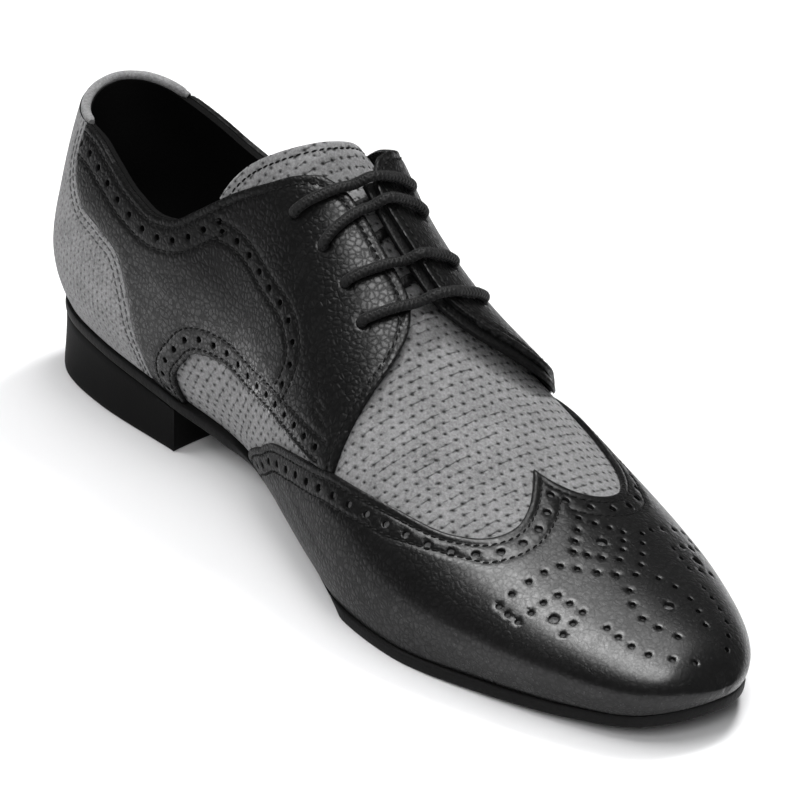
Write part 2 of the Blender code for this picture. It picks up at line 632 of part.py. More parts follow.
def heel():
    loop = heel_loop()
    foot = TOP_PIECE_HEIGHT + GAP
    rings = [(at_height(foot), back_step(loop) - TOP_PIECE_ROUND / 2),
             (at_height((foot + HEEL_HEIGHT) / 2 - SOLE_THICKNESS), -HEEL_WAIST),
             (below_seat(SOLE_THICKNESS + 2 * GAP), 0)]
    return slab("heel", loop, rings, "heel_stack")


def heel_top_piece():
    loop = heel_loop()
    step = back_step(loop)
    rings = [(at_height(0), step - TOP_PIECE_ROUND),
             (at_height(TOP_PIECE_HEIGHT / 3), step),
             (at_height(TOP_PIECE_HEIGHT * 2 / 3), step),
             (at_height(TOP_PIECE_HEIGHT), step - TOP_PIECE_ROUND / 2)]
    return slab("heel_top_piece", loop, rings, "heel_rubber")


def make_material(name, colour, roughness):
    material = bpy.data.materials.new(name)
    material.use_nodes = True
    surface = material.node_tree.nodes["Principled BSDF"]
    surface.inputs["Base Color"].default_value = (*colour, 1.0)
    surface.inputs["Roughness"].default_value = roughness
    return material


for old in list(bpy.data.objects):
    bpy.data.objects.remove(old, do_unlink=True)

MADE_MATERIALS = {name: make_material(name, *look) for name, look in MATERIALS.items()}
TURNS, LEVELS, CORNERS, INSIDE = chart_mesh()
LIFT = facing_lift(TURNS, LEVELS)
QUARTER_HEIGHTS = (CAP_BASE + LIFT, QUARTER_TOP + LIFT)
HOLES = set().union(*(found for name, found in INSIDE.items() if name.startswith("eyelet")))
TONGUE_TOPS = tongue_height(TURNS, LEVELS)

objects = [
    shell("upper", INSIDE["all"] - INSIDE["opening"], WALL_INSIDE, WALL_OUTSIDE, "nubuck"),
    shell("wing_cap", INSIDE["wing_cap"], CAP_BASE, 0, "leather", SEAM),
    shell("quarter_inner", INSIDE["quarter_inner"] - HOLES, *QUARTER_HEIGHTS, "leather", SEAM),
    shell("quarter_outer", INSIDE["quarter_outer"] - HOLES, *QUARTER_HEIGHTS, "leather", SEAM),
    shell("heel_counter", INSIDE["counter_inner"] | INSIDE["counter_outer"], CAP_BASE, 0, "nubuck", SEAM),
    shell("tongue", INSIDE["tongue"], TONGUE_TOPS - TONGUE_THICKNESS, TONGUE_TOPS, "nubuck"),
    collar_binding(),
    insole(),
    outsole(),
    heel(),
    heel_top_piece(),
]
for number, places in enumerate(LACE_BARS, 1):
    objects.append(lace_bar(f"lace_bar_{number}", *places))

# Stand the shoe over the origin, centred in plan
corners = np.concatenate([np.array([vertex.co for vertex in made.data.vertices]) for made in objects])
middle = (corners.min(axis=0) + corners.max(axis=0)) / 2
for made in objects:
    for vertex in made.data.vertices:
        vertex.co.x -= middle[0]
        vertex.co.y -= middle[1]
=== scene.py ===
import math

import bmesh
import bpy
import numpy as np
from mathutils import Matrix, Vector
from mathutils.geometry import delaunay_2d_cdt
from mathutils.kdtree import KDTree


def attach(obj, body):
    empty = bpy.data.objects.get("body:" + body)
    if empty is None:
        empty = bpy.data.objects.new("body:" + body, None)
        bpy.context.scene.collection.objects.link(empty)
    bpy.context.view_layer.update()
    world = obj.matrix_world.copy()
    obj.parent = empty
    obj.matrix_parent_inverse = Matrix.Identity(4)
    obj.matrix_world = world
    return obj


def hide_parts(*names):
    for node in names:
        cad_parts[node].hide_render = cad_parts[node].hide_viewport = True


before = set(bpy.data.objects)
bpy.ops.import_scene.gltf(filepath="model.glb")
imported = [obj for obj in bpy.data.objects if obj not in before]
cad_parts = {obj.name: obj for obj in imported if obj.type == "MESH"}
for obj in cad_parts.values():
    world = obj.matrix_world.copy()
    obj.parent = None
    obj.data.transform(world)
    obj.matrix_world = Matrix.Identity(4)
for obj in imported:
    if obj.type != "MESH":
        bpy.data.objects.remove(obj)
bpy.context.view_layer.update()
print("frame loaded,", len(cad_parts), "solids")

# The last in millimetres: station from heel to toe, level 0 on the ridge and 1 at the feather edge,
# minus on the inner side. Every panel is drawn on it, as in the part's source.
lastForm = dict(length=290.0, ball=96.0, instep=87.5, heel=26.2, girth=110.0, belly=0.22, heelShare=0.35,
                toeShare=0.3, toeBulge=1.0, toeTrim=2.8, heelSpan=62.0, rest=3.8, upright=0.12,
                middle=(141.7022, -1.14861))
lastRows = np.array([  # station, sole, crest, inner and outer feather, inner and outer belly, rise, dome
    (0.000, 1.000, 1.350, 0.000, 0.000, 0.000, 0.000, 0.84, 1.40),
    (0.034, 0.954, 1.350, 0.198, 0.202, 0.250, 0.227, 0.84, 1.35),
    (0.121, 0.870, 1.417, 0.262, 0.305, 0.333, 0.333, 0.76, 1.40),
    (0.241, 0.718, 1.470, 0.260, 0.326, 0.321, 0.372, 0.69, 1.70),
    (0.362, 0.519, 1.291, 0.252, 0.342, 0.301, 0.417, 0.65, 2.05),
    (0.421, 0.382, 1.149, 0.293, 0.368, 0.344, 0.438, 0.63, 2.10),
    (0.483, 0.248, 1.000, 0.348, 0.405, 0.405, 0.455, 0.61, 1.95),
    (0.538, 0.176, 0.866, 0.404, 0.441, 0.460, 0.471, 0.59, 1.90),
    (0.603, 0.145, 0.720, 0.473, 0.475, 0.508, 0.488, 0.57, 1.90),
    (0.707, 0.145, 0.529, 0.503, 0.476, 0.517, 0.486, 0.46, 1.90),
    (0.810, 0.187, 0.407, 0.432, 0.410, 0.452, 0.420, 0.38, 1.90),
    (0.903, 0.250, 0.330, 0.338, 0.293, 0.356, 0.306, 0.30, 1.90),
    (0.969, 0.335, 0.272, 0.232, 0.168, 0.243, 0.177, 0.22, 1.90),
    (1.000, 0.415, 0.170, 0.000, 0.000, 0.000, 0.000, 0.12, 1.90)])
heelCurve = np.array([(0.0, -2.4), (0.33, -4.8), (0.66, -1.7), (1.0, 0.2), (1.5, 2.8)])
chartScale = np.array([lastForm["length"], lastForm["girth"]])


def unit(vectors):
    return vectors / np.linalg.norm(vectors, axis=-1, keepdims=True)


def travelOf(points):  # the way along a row of points
    return np.concatenate([[0], np.cumsum(np.linalg.norm(np.diff(points, axis=0), axis=1))])


def smoothCurve(places, values, at, levelEnd=False):
    places, values = np.asarray(places, float), np.asarray(values, float)
    steps = np.diff(places)
    slopes = np.diff(values) / steps
    lean = np.empty_like(values)
    lean[1:-1] = (slopes[:-1] * steps[1:] + slopes[1:] * steps[:-1]) / (steps[:-1] + steps[1:])
    lean[0] = 1.5 * slopes[0] - 0.5 * lean[1]
    lean[-1] = 0 if levelEnd else 1.5 * slopes[-1] - 0.5 * lean[-2]
    cell = np.clip(np.searchsorted(places, at) - 1, 0, len(places) - 2)
    part = (at - places[cell]) / steps[cell]
    rest = 1 - part
    return (values[cell] * (1 + 2 * part) * rest ** 2 + steps[cell] * lean[cell] * part * rest ** 2
            + values[cell + 1] * part ** 2 * (3 - 2 * part) - steps[cell] * lean[cell + 1] * part ** 2 * rest)


def turnOf(share):
    return np.arccos(np.clip(1 - 2 * np.asarray(share, float), -1, 1)) / math.pi


def shareOf(turn):
    return (1 - np.cos(math.pi * np.asarray(turn, float))) / 2


def sectionAt(column, turn):
    levelEnd = column in (2, 7)  # crest and rise run level into the toe, so the two sides meet round
    return smoothCurve(turnOf(lastRows[:, 0]), lastRows[:, column], turn, levelEnd)


def soleHeight(turn):
    profile = smoothCurve(lastRows[:, 0], lastRows[:, 1], shareOf(turn))
    return np.maximum(profile * lastForm["heel"], lastForm["rest"])


def toePart(share):  # 0 behind the toe, 1 at its tip
    return np.clip((share - 1) / lastForm["toeShare"] + 1, 0, 1) ** 3


def lastPoint(turn, level):
    turn, level = (np.array(v, float) for v in np.broadcast_arrays(turn, level))
    level = np.where((turn < 0) | (turn > 1), -level, level)  # past an end it goes on round the other side
    turn = 1 - np.abs(1 - np.abs(turn))
    inner = level < 0
    climb = 1 - np.abs(level)
    share = shareOf(turn)
    feather = np.where(inner, sectionAt(3, turn), sectionAt(4, turn)) * lastForm["ball"]
    belly = np.where(inner, sectionAt(5, turn), sectionAt(6, turn)) * lastForm["ball"]
    bottom = soleHeight(turn)
    bellyHeight = bottom + sectionAt(7, turn) * lastForm["heel"]
    crest = sectionAt(2, turn) * lastForm["instep"]
    low = np.clip(climb / lastForm["belly"], 0, 1)
    angle = np.clip((climb - lastForm["belly"]) / (1 - lastForm["belly"]), 0, 1) * math.pi / 2
    under = climb < lastForm["belly"]
    swell = 1 - (1 - low) ** 2
    half = np.where(under, feather + (belly - feather) * swell,
                    belly * np.abs(np.cos(angle)) ** (2 / sectionAt(8, turn)))
    height = np.where(under, bottom + (bellyHeight - bottom) * low,
                      bellyHeight + (crest - bellyHeight) * np.sin(angle))
    span = np.clip((height - lastForm["heel"]) / lastForm["heelSpan"], 0, heelCurve[-1, 0])
    back = smoothCurve(heelCurve[:, 0], heelCurve[:, 1], span)
    bulge = lastForm["toeBulge"] * np.where(under, swell, np.cos(angle))
    along = (share * lastForm["length"] + back * np.clip(1 - share / lastForm["heelShare"], 0, 1) ** 2
             + (bulge - lastForm["toeTrim"]) * toePart(share))
    return np.stack([along, np.where(inner, -half, half), height], -1)


def lastNormal(turn, level, step=1e-3):
    size = np.clip(np.abs(level), 2 * step, 1 - 2 * step)
    lean = np.clip((1 - np.abs(level)) / lastForm["upright"], 0, 1)
    level = np.where(np.less(level, 0), -size, size)
    along = lastPoint(turn + step, level) - lastPoint(turn - step, level)
    across = lastPoint(turn, level + step) - lastPoint(turn, level - step)
    normal = unit(np.cross(along, across))
    normal[..., 2] *= lean  # walls stand upright at the feather edge
    return unit(normal)


def offLast(turn, level, height):
    points = lastPoint(turn, level) + lastNormal(turn, level) * np.asarray(height)[..., None]
    points[..., 2] = np.maximum(points[..., 2], soleHeight(1 - np.abs(1 - np.abs(turn))))
    return points


def inMetres(points):
    return (np.asarray(points) - (*lastForm["middle"], 0)) * 0.001


# Lines on the flat chart of the last
def spot(uv):
    return lastPoint(uv[:, 0] / chartScale[0], uv[:, 1] / chartScale[1])


def evenly(uv, step):
    travel = travelOf(spot(uv))
    at = np.linspace(0, travel[-1], max(2, round(travel[-1] / step) + 1))
    return np.column_stack([np.interp(at, travel, column) for column in uv.T])


def stroke(rows, step=1.0):
    rows = np.asarray(rows, float)
    table = np.column_stack([turnOf(rows[:, 0]) * chartScale[0], rows[:, 1] * chartScale[1], rows[:, 2:]])
    travel = travelOf(table[:, :2])
    at = np.linspace(0, travel[-1], 60 * len(rows))
    columns = [smoothCurve(travel, c, at) if len(rows) > 2 else np.interp(at, travel, c) for c in table.T]
    return evenly(np.column_stack(columns), step)


def chartLine(*places, step=1.6):
    return np.concatenate([evenly(np.array(pair) * chartScale, step)[:-1] for pair in zip(places, places[1:])]
                          + [np.array([places[-1]]) * chartScale])


def slopes(uv, step=0.05):
    along = (spot(uv + (step, 0)) - spot(uv - (step, 0))) / (2 * step)
    across = (spot(uv + (0, step)) - spot(uv - (0, step))) / (2 * step)
    return np.stack([along, across], -1)


def nearTo(points, line):
    tree = KDTree(len(line))
    for k, p in enumerate(line):
        tree.insert(p, k)
    tree.balance()
    found = [tree.find(p) for p in points]
    return np.array([f[2] for f in found]), np.array([f[1] for f in found])


shiftBounds = dict(near=0.96, far=1.12, slack=0.1, edge=0.995)  # points past them make loops and spurs at corners


def shift(line, distance, step=0.8):  # to the left of the line's run for a positive distance
    line = line[:, :2]
    slope = slopes(line)
    ahead = np.einsum("nij,nj->ni", slope, np.gradient(line, axis=0))
    up = np.cross(slope[..., 0], slope[..., 1])
    side = unit(np.cross(up, ahead))
    turned = np.swapaxes(slope, 1, 2)
    move = np.linalg.solve(turned @ slope, turned @ side[..., None])[..., 0]
    moved = line + move * distance
    gap, _ = nearTo(spot(moved), spot(line))
    bounds, size = shiftBounds, abs(distance)
    true = (gap > size * bounds["near"]) & (gap < size * bounds["far"] + bounds["slack"])
    return evenly(moved[true & (np.abs(moved[:, 1]) < bounds["edge"] * chartScale[1])], step)


def ringAt(centre, radius, sides):
    slope = slopes(np.array([centre]))[0]
    first = unit(slope[:, 0])
    second = unit(slope[:, 1] - first * (slope[:, 1] @ first))
    angles = np.arange(sides) * 2 * math.pi / sides
    reach = radius * (np.cos(angles)[:, None] * first + np.sin(angles)[:, None] * second)
    return centre + np.linalg.lstsq(slope, reach.T, rcond=None)[0].T


def dots(line, pitch, ends):
    fine = evenly(line[:, :2], 0.2)
    travel = travelOf(spot(fine))
    count = max(1, round((travel[-1] - 2 * ends) / pitch))
    at = np.linspace(ends, travel[-1] - ends, count + 1)
    return np.column_stack([np.interp(at, travel, c) for c in fine.T])


def joined(*parts):
    loop = np.concatenate([part[:-1, :2] for part in parts])
    x, y = loop.T
    area = np.dot(x, np.roll(y, -1)) - np.dot(y, np.roll(x, -1))
    return loop if area > 0 else loop[::-1]


def inside(points, loop):
    crossed = np.zeros(len(points), bool)
    for (ax, ay), (bx, by) in zip(loop, np.roll(loop, -1, axis=0)):
        spans = (ay > points[:, 1]) != (by > points[:, 1])
        if ay != by:
            crossed ^= spans & (points[:, 0] < (bx - ax) * (points[:, 1] - ay) / (by - ay) + ax)
    return crossed


def onSide(sign, rows):
    return [(row[0], sign * row[1], *row[2:]) for row in rows]


# Shader maths
class Flow:
    def __init__(self, tree, socket=None):
        self.tree, self.socket = tree, socket

    def make(self, kind, settings=None, inputs=None, out=0):
        node = self.tree.nodes.new(kind)
        for key, value in (settings or {}).items():
            setattr(node, key, value)
        self.feed(node, inputs or {})
        return Flow(self.tree, node.outputs[out])

    def feed(self, node, inputs):
        for key, value in inputs.items():
            if isinstance(value, Flow):
                self.tree.links.new(value.socket, node.inputs[key])
            else:
                node.inputs[key].default_value = value

    def maths(self, operation, *values):
        return self.make("ShaderNodeMath", {"operation": operation}, dict(enumerate(values)))

    def __abs__(self):
        return self.maths("ABSOLUTE", self)

    def step(self, low, high):  # soft step from 0 at low to 1 at high
        return self.make("ShaderNodeMapRange", {"interpolation_type": "SMOOTHSTEP"},
                         {"Value": self, "From Min": low, "From Max": high})

    def shade(self, dark, light):
        return self.make("ShaderNodeMix", {"data_type": "RGBA"}, {0: self, 6: dark, 7: light}, 2)

    def parts(self):
        node = self.make("ShaderNodeSeparateXYZ", None, {0: self}).socket.node
        return [Flow(self.tree, out) for out in node.outputs]

    def attribute(self, name):
        return self.make("ShaderNodeAttribute", {"attribute_name": name}, out="Fac")

    def place(self):
        return self.make("ShaderNodeTexCoord", out="Object")

    def cells(self, place, scale, randomness=1.0, feature="F1", out="Distance"):
        return self.make("ShaderNodeTexVoronoi", {"feature": feature},
                         {"Vector": place, "Scale": scale, "Randomness": randomness}, out)

    def noise(self, place, scale, detail=2.0, roughness=0.5):
        return self.make("ShaderNodeTexNoise", None,
                         {"Vector": place, "Scale": scale, "Detail": detail, "Roughness": roughness})


for name, operation in dict(add="ADD", sub="SUBTRACT", mul="MULTIPLY", truediv="DIVIDE", pow="POWER").items():
    setattr(Flow, f"__{name}__", lambda self, other, kind=operation: self.maths(kind, self, other))
    setattr(Flow, f"__r{name}__", lambda self, other, kind=operation: self.maths(kind, other, self))


def grey(value):
    return (value, value, value * 1.01, 1.0)


def newFinish(name):
    finish = bpy.data.materials.new(name)
    finish.use_nodes = True
    tree = finish.node_tree
    return finish, Flow(tree), tree.nodes["Principled BSDF"]


def dress(flow, shader, colour, roughness, height, strength, distance, **others):
    bump = flow.make("ShaderNodeBump", None, {"Height": height, "Strength": strength, "Distance": distance})
    flow.feed(shader, {"Base Color": colour, "Roughness": roughness, "Normal": bump, **others})


grainLeather = dict(cell=540.0, pore=1100.0, random=0.9, warpScale=420.0, warp=0.0008, cloud=60.0, speck=1300.0,
                    dark=0.0025, light=0.007, rough=0.29, strength=0.9, depth=0.0003,
                    specular=0.07, coat=0.95, coatRough=0.27)


def makeGrainLeather():
    g = grainLeather
    finish, flow, shader = newFinish("grainLeather")
    place, amount, gloss = flow.place(), flow.attribute("grain"), flow.attribute("gloss")
    warp = flow.make("ShaderNodeTexNoise", None, {"Vector": place, "Scale": g["warpScale"], "Detail": 1.0}, "Color")
    bent = flow.make("ShaderNodeVectorMath", {"operation": "MULTIPLY_ADD"}, {0: warp, 1: (g["warp"],) * 3, 2: place})
    edge = flow.cells(bent, g["cell"], g["random"], "DISTANCE_TO_EDGE")
    dome = flow.cells(bent, g["cell"], g["random"])
    chance, _, _ = flow.cells(bent, g["cell"], g["random"], out="Color").parts()
    pebble = edge.step(0.0, 0.36) * 0.75 + (1 - dome * dome) * 0.25
    fine = flow.cells(bent, g["pore"], feature="DISTANCE_TO_EDGE").step(0.0, 0.35)
    broad = flow.noise(place, g["cloud"], 3.0)
    height = pebble * amount * 0.8 + fine * (0.17 - amount * 0.08)
    # Colour: a random cloud of tone, and darker in the grooves between pebbles as painted shade
    colour = (pebble * 0.6 + broad * 0.5).shade(grey(g["dark"]), grey(g["light"]))
    rough = g["rough"] + (1 - pebble) * amount * 0.16 + broad * 0.10
    crease = (1 - edge.step(0.0, 0.26)) * amount * amount * 0.8  # grooves keep little gloss
    crease = crease + (1 - fine) * (1 - amount) * 0.45
    speck = flow.noise(place, g["speck"], 3.0, 0.6) - 0.5
    coat = (1 - crease) * (1 - chance * amount * 0.3) * (0.75 + broad * 0.5 + speck * 0.9) * gloss * g["coat"]
    dress(flow, shader, colour, rough, height, g["strength"], g["depth"],
          **{"Specular IOR Level": g["specular"], "Coat Weight": coat, "Coat Roughness": g["coatRough"]})
    return finish


# hole is the near-black painted into the pinholes as the shade in them
nubuck = dict(row=3.1, pitch=3.65, lean=31.0, pore=0.45, slant=0.25, dark=0.09, light=0.29, hole=0.018,
              rough=0.92, strength=0.8, depth=0.0007, swayScale=160.0, broken=230.0, nap=1100.0, cloud=110.0)


def makeNubuck():
    n = nubuck
    finish, flow, shader = newFinish("nubuck")
    place, pores = flow.place(), flow.attribute("pores")
    x, y, _ = flow.make("ShaderNodeUVMap", {"uv_map": "poreMap"}).parts()
    sway = flow.noise(place, n["swayScale"], 1.0) - 0.5
    row = (y + sway * 0.9) / n["row"]
    index = row.maths("FLOOR", row)
    column = (x + sway * 0.7) / n["pitch"] + index * 0.5
    cell = flow.make("ShaderNodeCombineXYZ", None, {0: column.maths("FLOOR", column), 1: index})
    a, b, c = flow.make("ShaderNodeTexWhiteNoise", {"noise_dimensions": "2D"}, {"Vector": cell}, "Color").parts()
    dx = (column.maths("FRACT", column) - 0.5 + (a - 0.5) * 0.16) * n["pitch"]
    dy = (row.maths("FRACT", row) - 0.5) * n["row"]
    off = dy + (b - 0.5) * 0.5
    slant = dx - off * n["slant"]
    apart = (slant * slant + off * off * 1.3) ** 0.5 / (n["pore"] * (0.8 + c * 0.5))
    hole = (1 - apart.step(0.3, 1.35)) * pores
    dimple = (1 - apart.step(0.7, 2.6)) * pores
    broken = flow.noise(place, n["broken"]).step(0.46, 0.60)
    groove = (1 - abs(dy).step(0.05, 0.42)) * broken * pores
    nap = flow.noise(place, n["nap"], 4.0, 0.68)
    cloud = flow.noise(place, n["cloud"], 3.0, 0.6)
    # Tone: the nap and cloud are the nubuck's own mottling; the row grooves and the dimples round the pinholes are
    # darkened as painted shade
    tone = (nap * 2.0 + cloud * 0.7 - 0.80 - groove * 0.36 - dimple * 0.26).shade(grey(n["dark"]), grey(n["light"]))
    # The pinholes are painted near-black, as the shade in them
    colour = hole.shade(tone, grey(n["hole"]))
    height = nap * 0.28 - hole - groove * 0.45 - dimple * 0.5
    dress(flow, shader, colour, n["rough"], height, n["strength"], n["depth"],
          **{"Specular IOR Level": 0.2, "Sheen Weight": 0.1, "Sheen Roughness": 0.6})
    return finish


def makePlain(name, dark, light, rough, scale, depth, specular):
    finish, flow, shader = newFinish(name)
    place = flow.place()
    fine = flow.noise(place, scale, 3.0, 0.6)
    broad = flow.noise(place, scale * 0.06, 3.0)
    colour = (fine * 0.5 + broad * 0.5).shade(grey(dark), grey(light))
    dress(flow, shader, colour, rough + broad * 0.16 - 0.08, fine, 0.6, depth, **{"Specular IOR Level": specular})
    return finish


laceBraid = dict(twist=4.2, strands=25.13, dark=0.002, light=0.007, rough=0.62, strength=0.7, depth=0.00018)


def makeBraid():
    b = laceBraid
    finish, flow, shader = newFinish("laceBraid")
    along, around, _ = flow.make("ShaderNodeUVMap", {"uv_map": "braidMap"}).parts()
    waves = [along * b["twist"] + around * strands for strands in (b["strands"], -b["strands"])]
    first, other = (wave.maths("SINE", wave) for wave in waves)
    strand = first.maths("MAXIMUM", first, other)
    # Colour: darker between the strands than on their tops, as painted shade
    colour = (strand * 0.5 + 0.5).shade(grey(b["dark"]), grey(b["light"]))
    dress(flow, shader, colour, b["rough"], strand, b["strength"], b["depth"],
          **{"Specular IOR Level": 0.2, "Sheen Weight": 0.02})
    return finish


plainFinishes = dict(  # dark, light, roughness, scale of the grain, its depth, specular
    liningCloth=(0.0015, 0.004, 0.9, 1500.0, 0.0002, 0.08), soleEdgeInk=(0.003, 0.007, 0.6, 700.0, 0.0004, 0.14),
    heelCover=(0.003, 0.006, 0.62, 900.0, 0.00012, 0.05), heelRubber=(0.010, 0.018, 0.62, 900.0, 0.0002, 0.5),
    darkThread=(0.002, 0.006, 0.6, 3000.0, 0.0001, 0.12), greyThread=(0.03, 0.07, 0.7, 3000.0, 0.0001, 0.5))
leather, suede, braid = makeGrainLeather(), makeNubuck(), makeBraid()
lining, soleEdge, heelCoat, heelRubber, darkThread, greyThread = (
    makePlain(name, *values) for name, values in plainFinishes.items())
print("finishes mixed")


def addPiece(name, mesh, stands, slot, *finishes):
    for finish in finishes:
        mesh.materials.append(finish)
    mesh.shade_smooth()
    mesh.set_sharp_from_angle(angle=math.radians(50))
    piece = bpy.data.objects.new(name, mesh)
    bpy.context.scene.collection.objects.link(piece)
    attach(piece, "root")
    if stands:
        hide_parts(*stands)
    print(f"{name}: {len(mesh.polygons)} faces")


# Length maps on the last, for patterns that follow the surface
mapCells = 120
mapTurns = np.linspace(0, 1, mapCells + 1)
mapPoints = lastPoint(mapTurns[:, None], np.linspace(-1, 1, mapCells + 1)[None])
crossSteps = np.linalg.norm(np.diff(mapPoints, axis=1), axis=-1)
crossLength = np.concatenate([np.zeros((mapCells + 1, 1)), np.cumsum(crossSteps, axis=1)], axis=1)
crossLength = crossLength - crossLength[:, mapCells // 2, None]


def lengthAlong(turn, level):
    return np.interp(turn, mapTurns, travelOf(lastPoint(mapTurns, np.full_like(mapTurns, level))))


def lengthAcross(turn, level):
    a, b = (np.clip(v * mapCells, 0, mapCells - 0.001) for v in (turn, (level + 1) / 2))
    i, j = a.astype(int), b.astype(int)
    s, t = a - i, b - j
    return (crossLength[i, j] * (1 - s) * (1 - t) + crossLength[i + 1, j] * s * (1 - t)
            + crossLength[i, j + 1] * (1 - s) * t + crossLength[i + 1, j + 1] * s * t)


def closed(bm, name):  # faces outward, as a mesh
    bmesh.ops.recalc_face_normals(bm, faces=bm.faces[:])
    mesh = bpy.data.meshes.new(name)
    bm.to_mesh(mesh)
    bm.free()
    return mesh


def takeLayer(mesh, name, kind):
    values = np.zeros(len(mesh.vertices), kind)
    mesh.attributes[name].data.foreach_get("value", values)
    mesh.attributes.remove(mesh.attributes[name])
    return values


# A panel of leather: a loop on the chart with holes, rounded rims and sewn troughs, closed into a shell
panelCut = dict(rimRows=(0.25, 0.7, 1.3), rimDrop=0.8, dipReach=3.0, seamRows=(-0.55, 0.0, 0.55), trough=0.42,
                troughWidth=0.62, holeSides=12, holeLip=0.4, holeDip=0.22, holeKeep=0.2, markGap=0.12, gridGap=0.6,
                rowStep=0.87, wall=0.3, prow=0.93, prowPasses=40)


def chartGap(points, others, cell):
    return nearTo(*([(*p, 0) for p in group / cell] for group in (points, others)))[0]


def pastHoles(points, holes):  # distance past the rim of the nearest hole
    apart, which = nearTo(points, spot(np.array([c for c, _ in holes])))
    return apart - np.array([r for _, r in holes])[which]


def panelNet(loop, gauge, holes, rims, seams):  # places and triangles on the chart
    cut = panelCut
    fixed = [loop, *[ringAt(c, r, cut["holeSides"]) for c, r in holes]]
    free = [ringAt(c, r + cut["holeLip"], cut["holeSides"]) for c, r in holes]
    for line, *_ in rims:
        free += [shift(line, sign * d) for d in cut["rimRows"] for sign in (1, -1)]
    for line in seams:
        free += [shift(line, d) if d else evenly(line, 0.8) for d in cut["seamRows"]]
    cell = gauge / np.linalg.norm(slopes(loop), axis=1).mean(axis=0) * (1, cut["rowStep"])
    grid = np.stack(np.meshgrid(*map(np.arange, loop.min(axis=0), loop.max(axis=0), cell), indexing="ij"), -1)
    grid[:, 1::2, 0] += cell[0] / 2
    grid = grid.reshape(-1, 2)
    grid = grid[inside(grid, loop)]
    drawn = np.concatenate(fixed)
    if free:
        marks = np.concatenate(free)
        marks = marks[inside(marks, loop)]
        gap = chartGap(marks, drawn, cell)
        if holes:
            gap[pastHoles(spot(marks), holes) < cut["holeKeep"]] = 0
        drawn = np.concatenate([drawn, marks[gap > cut["markGap"]]])
    points = np.concatenate([drawn, grid[chartGap(grid, drawn, cell) > cut["gridGap"]]])
    ends = np.cumsum([0, *map(len, fixed)])
    loops = [list(range(a, b)) for a, b in zip(ends, ends[1:])]
    places, _, triangles, _, _, origins = delaunay_2d_cdt([tuple(p) for p in points], [], loops, 1, 1e-5)
    triangles = np.array([list(t) for t, o in zip(triangles, origins) if list(o) == [0]])  # holes stay open
    used, triangles = np.unique(triangles, return_inverse=True)
    return np.array([tuple(p) for p in places])[used], triangles.reshape(-1, 3)


def panelHeight(turn, level, skin, holes, rims, seams, creases):
    cut = panelCut
    base, height = lastPoint(turn, level), skin(turn, level)
    for line, radius, dip in rims:
        apart, _ = nearTo(base, spot(evenly(line[:, :2], 0.25)))
        near = 1 - np.clip(apart / radius, 0, 1)
        height = height - radius * cut["rimDrop"] * (1 - np.sqrt(1 - near ** 2))
        height = height - dip * np.clip(1 - apart / cut["dipReach"], 0, 1) ** 2
    for line in seams:
        apart, _ = nearTo(base, spot(evenly(line[:, :2], 0.3)))
        height = height - cut["trough"] * np.exp(-(apart / cut["troughWidth"]) ** 2)
    for line, depth, width in creases:
        apart, where = nearTo(base, spot(line))
        fade = np.sin(math.pi * np.clip(where / (len(line) - 1), 0.02, 0.98)) ** 0.7
        height = height - depth * fade * np.exp(-(apart / width) ** 2)
    if holes:
        beyond = np.clip(pastHoles(base, holes) / cut["holeLip"], 0, 1)
        height = height - cut["holeDip"] * (1 - beyond) ** 2
    return height


def makePanel(name, loop, gauge, skin, low, holes=(), rims=(), seams=(), creases=(), weld=False, sewn=None):
    if seams:
        sewn.extend((line, skin) for line in seams)
    uv, triangles = panelNet(loop, gauge, holes, rims, seams)
    turn, level = (uv / chartScale).T
    height = panelHeight(turn, level, skin, holes, rims, seams, creases)
    top = inMetres(offLast(turn, level, height))
    foot = inMetres(offLast(turn, level, np.minimum(low(turn, level), height - panelCut["wall"])))
    bm = bmesh.new()
    tag = bm.verts.layers.int.new("spot")
    verts = [bm.verts.new(p) for p in top]
    for k, v in enumerate(verts):
        v[tag] = k
    for t in triangles:
        bm.faces.new([verts[k] for k in t])
    if weld:
        bmesh.ops.remove_doubles(bm, verts=bm.verts[:], dist=2e-6)
        tip = [v for v in bm.verts if turn[v[tag]] > panelCut["prow"] and not v.is_boundary]
        for _ in range(panelCut["prowPasses"]):  # rounds the prow of the toe
            bmesh.ops.smooth_vert(bm, verts=tip, factor=0.5, use_axis_x=True, use_axis_y=True, use_axis_z=True)
    outer = set(bm.faces)
    for v in bmesh.ops.extrude_face_region(bm, geom=bm.faces[:], use_keep_orig=True)["geom"]:
        if isinstance(v, bmesh.types.BMVert):
            v.co = foot[v[tag]]
    for face in bm.faces:
        face.material_index = int(face not in outer)
    mesh = closed(bm, name)
    where = takeLayer(mesh, "spot", np.int32)
    return mesh, turn[where], level[where]


def paintPoints(mesh, name, values):
    layer = mesh.attributes.new(name, "FLOAT", "POINT")
    layer.data.foreach_set("value", np.broadcast_to(values, len(mesh.vertices)).astype(np.float32).copy())


def layMap(mesh, name, x, y):
    corners = np.zeros(len(mesh.loops), np.int32)
    mesh.loops.foreach_get("vertex_index", corners)
    layer = mesh.uv_layers.new(name=name)
    layer.data.foreach_set("uv", np.column_stack([x, y])[corners].astype(np.float32).ravel())


